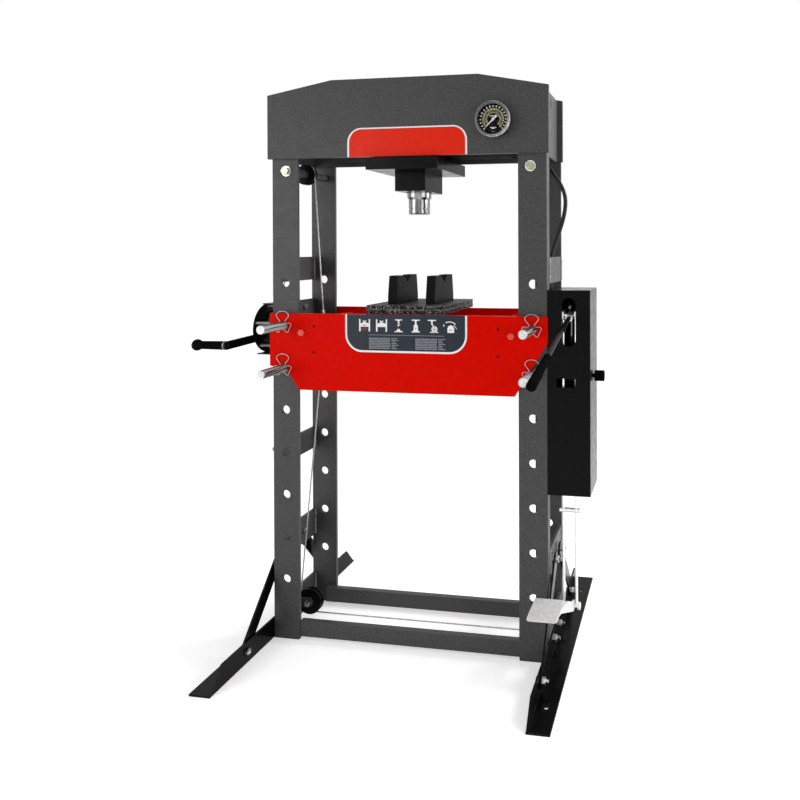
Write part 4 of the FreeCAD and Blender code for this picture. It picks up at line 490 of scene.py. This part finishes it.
class FlatPrint:
    """Collects flat upright shapes that face the front, all at the same depth y."""

    def __init__(self, y, x=0.0, z=0.0):
        self.y = y
        self.at(x, z)
        self.points = []
        self.faces = []

    def at(self, x, z, scale=1.0):
        """Shapes that follow are measured from x, z in units of scale."""
        self.x, self.z, self.scale = x, z, scale

    def shape(self, outline):
        start = len(self.points)
        self.points += [(self.x + x * self.scale, self.y, self.z + z * self.scale) for x, z in outline]
        self.faces.append(tuple(range(start, start + len(outline))))

    def bar(self, x, z, wide, high):
        self.shape([(x + i * wide / 2, z + j * high / 2) for i, j in CORNERS])

    def edging(self, outer, inner):
        """An open strip between two lines with equally many points."""
        for k in range(len(outer) - 1):
            self.shape([outer[k], outer[k + 1], inner[k + 1], inner[k]])

    def arc(self, x, z, radius, wide, steps, begin, end):
        """Part of a ring, as a strip of quads."""
        for i in range(steps):
            a, b = (begin + (end - begin) * k / steps for k in (i, i + 1))
            self.shape([(x + r * cos(t), z + r * sin(t))
                        for r, t in ((radius, a), (radius, b), (radius - wide, b), (radius - wide, a))])

    def disc(self, x, z, radius, steps):
        angles = [2 * pi * k / steps for k in range(steps)]
        self.shape([(x + radius * cos(angle), z + radius * sin(angle)) for angle in angles])

    def tick(self, x, z, angle, radius, long, wide):
        """A short radial bar that ends at radius."""
        c, s, inner, half = cos(angle), sin(angle), radius - long, wide / 2
        self.shape([(x + c * r - s * w, z + s * r + c * w)
                    for r, w in ((radius, half), (radius, -half), (inner, -half), (inner, half))])

    def piece(self, name, material, slot):
        return new_piece(name, self.points, self.faces, material, "frame")


def rounded_line(low, high, radius, round_top, side=0.0, end=0.0):
    """Three sides of a plate with two round corners, moved inwards by side and end; the fourth stays open."""
    steps = 10
    x0, x1 = low[0] + side, high[0] - side
    open_z = low[1] if round_top else high[1]
    turn = 1 if round_top else -1
    edge_z = high[1] - end if round_top else low[1] + end
    across, along = radius - side, radius - end
    arc = []
    for k in range(steps + 1):
        angle = pi / 2 * k / steps
        arc.append((x1 - across + across * cos(angle), edge_z - turn * along * (1 - sin(angle))))
    other = [(x0 + x1 - x, z) for x, z in reversed(arc)]
    return [(x1, open_z)] + arc + other + [(x0, open_z)]


def route_curve(name, points, thickness, material):
    """A cord as a smooth spline that follows its route's points."""
    curve = bpy.data.curves.new(name, "CURVE")
    curve.dimensions = "3D"
    curve.resolution_u = 12
    spline = curve.splines.new("NURBS")
    spline.points.add(len(points) - 1)
    for point, where in zip(spline.points, points):
        point.co = (*where, 1)
    spline.order_u = 3
    spline.use_endpoint_u = True
    curve.bevel_depth = thickness / 2
    curve.bevel_resolution = 5
    curve.use_fill_caps = True
    curve.materials.append(material)
    return new_object(name, curve)


def centre_line(points):
    """Points along the smooth spline of a route."""
    plain = route_curve("route", points, 0, None)
    line = bpy.data.meshes.new_from_object(plain)
    found = [v.co.copy() for v in line.vertices]
    bpy.data.objects.remove(plain)
    bpy.data.meshes.remove(line)
    return found


def hose_tube(name, points, thickness, material):
    """A hose as a mesh tube along the smooth spline of its route."""
    curve = route_curve(name + "_line", points, thickness, material)
    tube = bpy.data.meshes.new_from_object(curve)
    bpy.data.objects.remove(curve)
    tube.shade_smooth()
    return new_object(name, tube)


def even_steps(line, step):
    """The line's points at about equal distances."""
    total = [0.0]
    for a, b in zip(line, line[1:]):
        total.append(total[-1] + (b - a).length)
    count = round(total[-1] / step)
    found, k = [], 0
    for i in range(count + 1):
        at = total[-1] * i / count
        while k < len(total) - 2 and total[k + 1] < at:
            k += 1
        part = (at - total[k]) / max(total[k + 1] - total[k], 1e-9)
        found.append(line[k].lerp(line[k + 1], min(1.0, part)))
    return found, total[-1]


def tube_faces(start, edge_highlights, sides):
    """Faces of a closed tube whose rings of points follow each other from the index start."""
    faces = []
    for i in range(edge_highlights - 1):
        for k in range(sides):
            a, b = start + i * sides + k, start + i * sides + (k + 1) % sides
            faces.append((a, b, b + sides, a + sides))
    last = start + (edge_highlights - 1) * sides
    faces.append(tuple(reversed(range(start, start + sides))))
    faces.append(tuple(range(last, last + sides)))
    return faces


def twisted_rope(name, route, thickness, lay, strands, material):
    """A rope of strands laid round each other, its centre line and its length."""
    line, total = even_steps(centre_line(route), lay / RINGS_PER_LAY)
    strand = thickness * STRAND_SHARE
    orbit = thickness / 2 - strand
    points, faces = [], []
    side = Vector((0, 1, 0))
    frames = []
    for i, here in enumerate(line):
        way = (line[min(i + 1, len(line) - 1)] - line[max(i - 1, 0)]).normalized()
        side = (side - way * side.dot(way)).normalized()
        frames.append((here, side.copy(), way.cross(side)))
    for s in range(strands):
        start = len(points)
        for i, (here, u, v) in enumerate(frames):
            angle = 2 * pi * (s / strands + total * i / (len(line) - 1) / lay)
            out = u * cos(angle) + v * sin(angle)
            across = v * cos(angle) - u * sin(angle)
            for k in range(STRAND_SIDES):
                a = 2 * pi * k / STRAND_SIDES
                points.append(here + out * (orbit + strand * cos(a)) + across * (strand * sin(a)))
        faces += tube_faces(start, len(line), STRAND_SIDES)
    return new_piece(name, points, faces, material, "frame", True), line, total


def seam_mesh(x, y, low, high, radius, points, faces):
    """Adds one upright weld seam with a ripple for every four steps along it."""
    start = len(points)
    count = round((high - low) / SEAM_STEP)
    for i in range(count + 1):
        z = low + (high - low) * i / count
        r = radius * (0.72 + 0.28 * abs(sin(pi * i / 4)) + 0.06 * sin(i * 0.37))
        for k in range(SEAM_SIDES):
            a = 2 * pi * k / SEAM_SIDES
            points.append((x + r * cos(a), y + r * sin(a), z))
    faces += tube_faces(start, count + 1, SEAM_SIDES)


def turned_ring(x, z, profile):
    """Points and faces of a ring about a front-to-back axis; profile lists radius and y."""
    points, faces, n, steps = [], [], len(profile), 64
    for i in range(steps):
        angle = 2 * pi * i / steps
        points += [(x + r * cos(angle), y, z + r * sin(angle)) for r, y in profile]
    for i in range(steps):
        for k in range(n):
            a, b = i * n + k, i * n + (k + 1) % n
            c, d = (i + 1) % steps * n + k, (i + 1) % steps * n + (k + 1) % n
            faces.append((a, c, d, b))
    return points, faces


# -------------------- operators
class PRESS_OT_camera(bpy.types.Operator):
    """Sets up the camera at the photograph's viewpoint"""

    bl_idname = "press.camera"
    bl_label = "Camera"

    def execute(self, context):
        view = context.scene.press_camera
        data = bpy.data.cameras.new("camera")
        data.sensor_width = 36.0
        data.lens = view.lens
        data.shift_x, data.shift_y = view.shift_x, view.shift_y
        data.clip_end = 50.0
        camera = new_object("camera", data)
        camera.location = view.place
        aim = Matrix.Rotation(view.turn, 4, "Z") @ Matrix.Rotation(pi / 2 - view.dip, 4, "X")
        camera.rotation_euler = (aim @ Matrix.Rotation(view.roll, 4, "Z")).to_euler()
        context.scene.camera = camera
        context.scene.view_settings.view_transform = "Standard"
        return {"FINISHED"}


class PRESS_OT_stage(bpy.types.Operator):
    """Lays a plain pale floor and sets soft studio light"""

    bl_idname = "press.stage"
    bl_label = "Floor and light"

    def execute(self, context):
        view = context.scene.press_camera
        self.floor()
        self.room(context, view.room)
        for setting, (where, target, size) in LAMPS.items():
            self.lamp(setting + "_lamp", where, target, size, getattr(view, setting))
        return {"FINISHED"}

    def floor(self):
        """A wide plain floor that glows for the rays that are seen, so that it ends up nearly white."""
        mesh = bpy.data.meshes.new("floor")
        mesh.from_pydata([(x * FLOOR_HALF, y * FLOOR_HALF, 0) for x, y in CORNERS], [], [(0, 1, 2, 3)])
        material, tree, shader = new_finish("pale_floor", 0.2)
        shader.inputs["Roughness"].default_value = 0.9
        tree.links.new(colour_between(tree, grain(tree, 0.6, 3.0), (0.90, 0.90, 0.90), (0.93, 0.93, 0.93)),
                       shader.inputs["Base Color"])
        white = add(tree, "ShaderNodeEmission", color=WHITE)
        away = add(tree, "ShaderNodeVectorMath", operation="LENGTH")
        tree.links.new(place(tree), away.inputs[0])
        glow = spread(tree, away.outputs["Value"], *FLOOR_GLOW, *GLOW_REACH)
        tree.links.new(combined(tree, "MULTIPLY", seen_rays(tree), glow), white.inputs["Strength"])
        both = tree.nodes.new("ShaderNodeAddShader")
        tree.links.new(shader.outputs[0], both.inputs[0])
        tree.links.new(white.outputs[0], both.inputs[1])
        tree.links.new(both.outputs[0], tree.nodes["Material Output"].inputs["Surface"])
        mesh.materials.append(material)
        new_object("floor", mesh)

    def room(self, context, strength):
        """Light from all round of this strength, which is seen as plain white."""
        world = bpy.data.worlds.new("studio")
        context.scene.world = world
        world.use_nodes = True
        tree = world.node_tree
        light = tree.nodes["Background"]
        light.inputs["Color"].default_value = WHITE
        light.inputs["Strength"].default_value = strength
        white = add(tree, "ShaderNodeBackground", color=WHITE, strength=1.0)
        mixed = tree.nodes.new("ShaderNodeMixShader")
        tree.links.new(seen_rays(tree), mixed.inputs[0])
        tree.links.new(light.outputs[0], mixed.inputs[1])
        tree.links.new(white.outputs[0], mixed.inputs[2])
        tree.links.new(mixed.outputs[0], tree.nodes["World Output"].inputs["Surface"])

    def lamp(self, name, where, target, size, watts):
        """A square lamp that shines at its target."""
        data = bpy.data.lights.new(name, "AREA")
        data.size = size
        data.energy = watts
        lamp = new_object(name, data)
        lamp.location = where
        lamp.rotation_euler = (Vector(target) - Vector(where)).to_track_quat("-Z", "Y").to_euler()


class PRESS_OT_ropes(bpy.types.Operator):
    """Lays the lift rope and the levelling rope over their pulleys"""

    bl_idname = "press.ropes"
    bl_label = "Wire ropes"

    def execute(self, context):
        sizes = detail()
        wire = bare_metal("rope_wire", looks().rope, 0.38, stain_and_sheen=0.25)
        for name, route in (("lift_rope", LIFT_ROPE), ("level_rope", LEVEL_ROPE)):
            rope, line, total = twisted_rope(name + "_strands", route, sizes.rope_thickness, sizes.rope_lay,
                                             sizes.rope_strands, wire)
            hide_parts(name)
        assign(wire, "rope_coil")
        return {"FINISHED"}


class PRESS_OT_hoses(bpy.types.Operator):
    """Lays the pressure hose and the gauge's hose"""

    bl_idname = "press.hoses"
    bl_label = "Hoses"

    def execute(self, context):
        sizes = detail()
        rubber = moulded("hose_rubber", looks().rubber, 0.26, 0.22)
        for name, route, thickness, fixed in (
                ("pressure_hose", PRESSURE_HOSE, sizes.hose_thickness, PRESSURE_FIXED),
                ("gauge_hose", GAUGE_HOSE, sizes.gauge_hose_thickness, GAUGE_FIXED)):
            line = centre_line(route)
            _, total = even_steps(line, 0.01)
            hose = hose_tube(name + "_rubber", route, thickness, rubber)
            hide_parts(name)
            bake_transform(hose)
        return {"FINISHED"}


class PRESS_OT_frame_paint(bpy.types.Operator):
    """Paints the frame in grey hammered enamel"""

    bl_idname = "press.frame_paint"
    bl_label = "Frame enamel"

    def execute(self, context):
        grey = hammered("frame_enamel", looks().frame_grey, looks())
        assign(grey, "front_uprights", "rear_uprights", "side_spacers", "beam_plates", "cross_rails",
               "pulley_brackets")
        return {"FINISHED"}


class PRESS_OT_weld_seams(bpy.types.Operator):
    """Lays weld seams where the side pieces meet the uprights"""

    bl_idname = "press.weld_seams"
    bl_label = "Weld seams"

    def execute(self, context):
        tone = looks().frame_grey
        # The seams' enamel is four times lighter than the frame's: a painted highlight on the beads.
        highlit_bead = enamel("seam_enamel", shade(tone, 4.0), 0.30, 0.3, mottle=0.7, grain_size=0.0012)
        for side, word in ((-1, "left"), (1, "right")):
            points, faces = [], []
            for x, runs in SEAMS.items():
                for y in SEAM_DEPTHS:
                    for low, high in runs:
                        seam_mesh(side * x, y, low, high, detail().seam, points, faces)
            new_piece(word + "_seams", points, faces, highlit_bead, "frame", True)
        return {"FINISHED"}


class PRESS_OT_table_paint(bpy.types.Operator):
    """Paints the table red"""

    bl_idname = "press.table_paint"
    bl_label = "Table enamel"

    def execute(self, context):
        look = looks()
        red = enamel("table_enamel", look.table_red, 0.34, 0.02, mottle=0.05, wear_and_sheen=look.rubbed_and_lit_edges,
                     edge=look.edge_round)
        assign(red, "table_plates", "table_webs")
        # The table bolts' lighter red is a painted highlight on the table's enamel.
        assign(enamel("bolt_enamel", look.lit_bolt_red, 0.34, 0.2, mottle=0.05), "table_bolts")
        return {"FINISHED"}


class PRESS_OT_black_parts(bpy.types.Operator):
    """Coats feet, head, winch, pump box and pulleys in black and gives the loose blocks their scale"""

    bl_idname = "press.black_parts"
    bl_label = "Black parts"

    def execute(self, context):
        look = looks()
        coat = enamel("black_coat", look.black, 0.20, 0.075, mottle=0.25, grain_size=0.0022,
                      wear_and_sheen=look.rubbed_and_lit_edges, edge=look.edge_round)
        assign(coat, "feet", "braces", "saddle", "cylinder", "cylinder_guard", "winch_frame", "crank_arm",
               "pump_box", "pump_block", "gauge_case", "head_fittings")
        plates = mill_scale("plate_scale", look.scale_dark, look.scale_light, 0.52,
                            edge_tone=(0.75, 0.75, 0.73), wear_and_sheen=1.0, low=0.515, high=0.60, metallic=0.2)
        assign(plates, "arbor_plates")
        vee = mill_scale("vee_scale", look.vee_dark, shade(look.vee_dark, 2.0), 0.40,
                         edge_tone=(0.16, 0.16, 0.16), wear_and_sheen=0.40, low=0.60, high=0.74, metallic=0)
        assign(vee, "vee_blocks")
        pulleys = enamel("pulley_black", look.iron, 0.30, 0.05, mottle=0.25, wear_and_sheen=0.15)
        assign(pulleys, *[end + "_pulley" for end in TABLE_ENDS])
        return {"FINISHED"}


class PRESS_OT_metal_parts(bpy.types.Operator):
    """Gives plated, turned and ground pieces their metals"""

    bl_idname = "press.metal_parts"
    bl_label = "Bare metals"

    def execute(self, context):
        look = looks()
        zinc = bare_metal("zinc_plating", look.zinc, 0.30, stain_and_sheen=0.18)
        assign(zinc, "frame_nuts", "stirrup", "rope_eyes", "lever_socket")
        # The bolt heads' dark outline is painted shade; their strong cloudy tone is partly stains and partly
        # painted highlights.
        bolts = bare_metal("bolt_plating", shade(look.zinc, 0.75), 0.32, stain_and_sheen=0.8, tight=0.04, edge=0.0020,
                           outline=(0.05, 0.05, 0.035), second=("Z", BEAM_LEVEL, 1, look.yellow_zinc))
        assign(bolts, "frame_bolts")
        dull = bare_metal("dull_plating", look.dull_zinc, 0.46, stain_and_sheen=0.3, metallic=0.6)
        assign(dull, "winch_bolts", "winch_drum")
        arm_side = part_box("crank_arm")[1].x - 0.002
        shaft = bare_metal("shaft_plating", look.dull_zinc, 0.46, stain_and_sheen=0.3, metallic=0.6,
                           second=("X", arm_side, 1, look.iron))
        assign(shaft, "crank_shaft")
        assign(bare_metal("pedal_plating", look.pedal_grey, 0.40, stain_and_sheen=0.14, metallic=0.15), "pedal")
        pin_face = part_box("left_upper_pin")[0].y + 0.001
        # The pins' light and dark bands along their length are painted reflections.
        pins = bare_metal("drawn_steel", look.steel, 0.24, stain_and_sheen=0.92, streak=(1, 0.04, 1), metallic=0.08,
                          tight=0.03, second=("Y", pin_face, 0, look.zinc))
        assign(pins, *[end + "_pin" for end in TABLE_ENDS])
        clips = bare_metal("clip_wire", look.wire, 0.36, stain_and_sheen=0.2, metallic=0.6)
        assign(clips, *[end + "_clip" for end in TABLE_ENDS])
        # The ram's light and dark streaks along its length are painted reflections.
        ram = bare_metal("ground_ram", look.ram_steel, 0.16, stain_and_sheen=0.9, streak=(1, 1, 0.04))
        assign(ram, "ram", "pump_plunger")
        lever = bare_metal("lever_plating", look.dark_chrome, 0.14, stain_and_sheen=0.3, metallic=0, shine=0.06)
        assign(lever, "lever_tube")
        return {"FINISHED"}


class PRESS_OT_grips(bpy.types.Operator):
    """Gives the hand grips and the release knob their plastic"""

    bl_idname = "press.grips"
    bl_label = "Grips"

    def execute(self, context):
        plastic = moulded("grip_plastic", looks().grip_black, 0.40, 0.0)
        assign(plastic, "crank_grip", "lever_grip", "release_knob")
        return {"FINISHED"}


class PRESS_OT_head_panel(bpy.types.Operator):
    """Colours the beam's plate and prints its border"""

    bl_idname = "press.head_panel"
    bl_label = "Head panel"

    def execute(self, context):
        look, sizes = looks(), detail()
        # The plate's edges take the lighter edge tone strongly: partly wear, partly a painted highlight along
        # its lower edge.
        red = enamel("head_panel_red", look.panel_red, 0.24, 0.10, mottle=0.03, height=0.00001, wear_and_sheen=0.5,
                     edge=0.0010)
        assign(red, "head_panel")
        ink = printed("panel_ink", look.marking)
        low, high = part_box("head_panel")
        art = FlatPrint(low.y - sizes.print_rise)
        a, b, corner = (low.x, low.z), (high.x, high.z), 0.047
        art.edging(rounded_line(a, b, corner, True),
                   rounded_line(a, b, corner, True, sizes.border, sizes.border * 0.72))
        art.piece("head_panel_print", ink, "pointer_white")
        return {"FINISHED"}


class PRESS_OT_table_panel(bpy.types.Operator):
    """Colours the table's plate and prints its border, symbols and rows"""

    bl_idname = "press.table_panel"
    bl_label = "Table panel"

    def execute(self, context):
        look, sizes = looks(), detail()
        dark = enamel("table_panel_dark", look.panel_dark, 0.30, 0.12, mottle=0.05, height=0.00001, wear_and_sheen=0.2,
                      edge=0.0006)
        assign(dark, "table_panel")
        low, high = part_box("table_panel")
        y = low.y - sizes.print_rise
        a, b, corner = (low.x, low.z), (high.x, high.z), 0.058
        art = FlatPrint(y)
        art.edging(rounded_line(a, b, corner, False),
                   rounded_line(a, b, corner, False, sizes.border, sizes.border))
        accents = FlatPrint(y - sizes.print_rise)
        self.symbols(art, accents, low.x, high.z, sizes.symbol)
        art.piece("table_panel_print", bpy.data.materials["panel_ink"], "pointer_white")
        accents.piece("table_panel_accents", printed("accent_ink", look.accent), "panel_red")
        # A rule above two columns of rows, measured from the plate's lower left corner.
        rows = FlatPrint(y, low.x, low.z)
        rows.bar(0.207, 0.0562, 0.254, 0.0016)
        for column, x in enumerate((0.0815, 0.2378)):
            self.rows(rows, x, column)
        rows.piece("table_panel_rows", printed("row_ink", look.text_grey), "panel_grey")
        return {"FINISHED"}

    def rows(self, art, x, column):
        """Seven rows of words as plain bars, from x to the right, and a shorter bar beside each."""
        words, gap = (0.011, 0.006, 0.015, 0.008, 0.012, 0.005, 0.014, 0.009), 0.0014
        top, pitch = 0.0455, 0.0053
        last_start, row_end, beside = x + 0.070, x + 0.0725, x + 0.0765
        for i in range(7):
            z = top - i * pitch
            at, k = x, i * 3 + column
            while at < last_start:
                wide = min(words[k % len(words)], row_end - at)
                art.bar(at + wide / 2, z, wide, 0.0034)
                at += wide + gap
                k += 1
            short = 0.018 + 0.006 * sin(i * 2.1 + column * 1.8)
            art.bar(beside + short / 2, z, short, 0.0026)

    def symbols(self, art, accents, left, top, height):
        """Six plain work symbols: two frames with a bridge, three small presses and a jack with its arm."""
        unit = height / 13
        first, apart, down = 0.0666, 0.0577, 0.0345
        places = [(left + first + apart * i, top - down) for i in range(6)]
        for place_x, place_z in places[:2]:
            art.at(place_x, place_z, unit)
            for side in (-1, 1):
                post = [(side * 4.2, -6.2), (side * 5.9, -6.2), (side * 5.9, 6.3), (side * 4.5, 6.0)]
                art.shape(post[::side])
            art.shape([(-4.4, -1.6), (4.4, -1.6), (4.4, 1.6), (2.2, 2.6), (-2.2, 2.6), (-4.4, 1.6)])
            art.shape([(-2.0, 4.9), (-1.0, 4.9), (0, 3.6), (1.0, 4.9), (2.0, 4.9), (0.9, 2.6), (-0.9, 2.6)])
        accents.at(*places[0], unit)
        accents.shape([(-3.6, -5.2), (3.6, -5.2), (2.6, -2.0), (0, -3.4), (-2.6, -2.0)])
        accents.shape([(-2.4, -0.9), (-1.6, -0.9), (2.4, 0.9), (1.6, 0.9)])
        accents.shape([(1.6, -0.9), (2.4, -0.9), (-1.6, 0.9), (-2.4, 0.9)])
        for i in (2, 3, 4):
            art.at(*places[i], unit)
            head = -1.2 if i == 4 else 0.0
            art.bar(head, 5.8, 8.6 if i > 2 else 7.6, 1.0)
            art.shape([(head - 1.6, 5.3), (head + 1.6, 5.3), (head + 0.8, 4.2), (head + 0.8, 1.6),
                       (head - 0.8, 1.6), (head - 0.8, 4.2)])
            art.bar(1.2 if i == 4 else 0.0, -6.0, 8.6, 0.9)
        art.at(*places[2], unit)
        art.shape([(-3.4, -5.6), (3.4, -5.6), (1.6, -4.6), (1.2, -2.8), (0, -3.6), (-1.2, -2.8),
                   (-1.6, -4.6)])
        art.shape([(-1.4, 0.4), (1.6, 1.4), (1.8, 0.4), (-1.0, -0.6)])
        accents.at(*places[2], unit)
        accents.shape([(-1.8, 0.2), (-0.8, -0.8), (1.4, -0.6), (0.9, -2.2), (-0.9, -2.4)])
        art.at(*places[3], unit)
        art.shape([(-1.3, 1.6), (1.3, 1.6), (2.3, -0.6), (2.3, -4.2), (3.6, -5.6), (-3.6, -5.6), (-2.3, -4.2),
                   (-2.3, -0.6)])
        accents.at(*places[3], unit)
        accents.disc(0, -2.4, 0.55, 10)
        art.at(*places[4], unit)
        art.shape([(-1.8, 1.6), (-0.4, 1.6), (1.4, -0.2), (0.6, -0.8)])
        art.disc(1.4, -3.0, 3.1, 20)
        accents.at(*places[4], unit)
        for x, z in ((1.4, -1.6), (0.1, -3.0), (2.7, -3.0), (1.4, -4.4)):
            accents.disc(x, z, 0.62, 10)
        art.at(*places[5], unit)
        art.shape([(-3.3, -6.3), (3.7, -6.3), (3.7, -1.8), (2.4, 0.2), (0.9, 1.2), (-0.6, 1.2), (-2.2, 0.2),
                   (-3.3, -1.8)])
        art.arc(-1.0, -4.0, 9.0, 0.9, 16, radians(45), radians(118))
        art.shape([(3.4, 1.4), (6.6, -2.0), (6.2, -2.4), (2.9, 1.0)])
        art.shape([(-7.0, 2.4), (-6.3, 0.4), (-7.0, -0.2), (-7.8, 0.4)])
        accents.at(*places[5], unit)
        accents.bar(0.2, -3.6, 2.8, 0.5)


class PRESS_OT_gauge(bpy.types.Operator):
    """Draws the gauge's dial and colours its rim, pointer and glass"""

    bl_idname = "press.gauge"
    bl_label = "Gauge"

    def execute(self, context):
        look = looks()
        assign(moulded("dial_face", (0.006, 0.006, 0.0065), 0.45, 0.15), "gauge_dial")
        assign(printed("pointer_paint", look.marking), "gauge_pointer")
        assign(clear_glass("gauge_lens"), "gauge_glass")
        low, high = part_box("gauge_dial")
        case_low, case_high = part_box("gauge_case")
        x, z = (case_low.x + case_high.x) / 2, (case_low.z + case_high.z) / 2
        self.rim(x, z, case_low.y)
        # The dial's box begins at the pointer's post, which stands this far out of the face.
        pointer_post = 0.0045
        self.scales(x, z, low.y + pointer_post - detail().print_rise, (high.x - low.x) / 2 - 0.002)
        return {"FINISHED"}

    def rim(self, x, z, front):
        """The plated ring round the dial."""
        # Radius of each point, from the outside in, and how far it lies behind the case's front.
        profile = [(0.0553, 0.012), (0.0553, 0.0025), (0.0542, 0.0002), (0.0520, -0.0004), (0.0482, -0.0004),
                   (0.0464, 0.0008), (0.0460, 0.0040), (0.0500, 0.012)]
        points, faces = turned_ring(x, z, [(radius, front + behind) for radius, behind in profile])
        # The rim's plating carries painted highlights on its edges and on its lower right.
        highlit = rim_plating(looks().rim, (x, z))
        new_piece("gauge_rim", points, faces, highlit, "frame", True)

    def scales(self, x, z, y, outer):
        """An outer scale with marks below and above the middle, and two inner scales with a fine line."""
        begin, end = radians(-45), radians(225)
        white_ticks, yellow_ticks = 19, 31
        white = FlatPrint(y)
        for i in range(white_ticks):
            white.tick(x, z, end + (begin - end) * i / (white_ticks - 1), outer, 0.0058, 0.0040)
        white.disc(x - 0.0035, z - outer * 0.88, 0.0012, 12)
        white.disc(x + 0.0035, z - outer * 0.88, 0.0012, 12)
        white.bar(x, z - outer * 0.58, 0.019, 0.0022)
        white.bar(x, z - outer * 0.66, 0.012, 0.0018)
        white.bar(x - 0.004, z + outer * 0.24, 0.015, 0.0022)
        white.piece("gauge_ticks", bpy.data.materials["panel_ink"], "pointer_white")
        yellow = FlatPrint(y)
        for i in range(yellow_ticks):
            at = end + (begin - end) * i / (yellow_ticks - 1)
            yellow.tick(x, z, at, outer * 0.79, 0.0052, 0.0026 if i % 2 else 0.0036)
            yellow.tick(x, z, at, outer * 0.55, 0.0046, 0.0017)
        yellow.arc(x, z, outer * 0.62, 0.0008, 72, begin, end)
        yellow.piece("gauge_inner_scale", printed("scale_ink", looks().dial_yellow), "pointer_white")


class PRESS_PT_looks(bpy.types.Panel):
    """Colours, sizes and steps of the press"""

    bl_idname = "PRESS_PT_looks"
    bl_label = "Workshop press"
    bl_space_type = "VIEW_3D"
    bl_region_type = "UI"
    bl_category = "Press"

    def draw(self, context):
        for group in (context.scene.press_finish, context.scene.press_detail, context.scene.press_camera):
            box = self.layout.box()
            for key in group.__annotations__:
                box.prop(group, key)
        for step in STEPS:
            self.layout.operator(step.bl_idname)


STEPS = (PRESS_OT_camera, PRESS_OT_ropes, PRESS_OT_hoses, PRESS_OT_stage, PRESS_OT_frame_paint,
         PRESS_OT_weld_seams, PRESS_OT_table_paint, PRESS_OT_black_parts, PRESS_OT_metal_parts,
         PRESS_OT_grips, PRESS_OT_head_panel, PRESS_OT_table_panel, PRESS_OT_gauge)
GROUPS = (("press_finish", PressFinish), ("press_detail", PressDetail), ("press_camera", PressCamera))


def register():
    for name, group in GROUPS:
        bpy.utils.register_class(group)
        setattr(bpy.types.Scene, name, PointerProperty(type=group))
    for step in STEPS:
        bpy.utils.register_class(step)
    bpy.utils.register_class(PRESS_PT_looks)


def unregister():
    bpy.utils.unregister_class(PRESS_PT_looks)
    for step in reversed(STEPS):
        bpy.utils.unregister_class(step)
    for name, group in reversed(GROUPS):
        delattr(bpy.types.Scene, name)
        bpy.utils.unregister_class(group)


def main():
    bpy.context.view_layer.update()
    register()
    for step in STEPS:
        group, name = step.bl_idname.split(".")
        getattr(getattr(bpy.ops, group), name)()


if __name__ == "__main__":
    main()
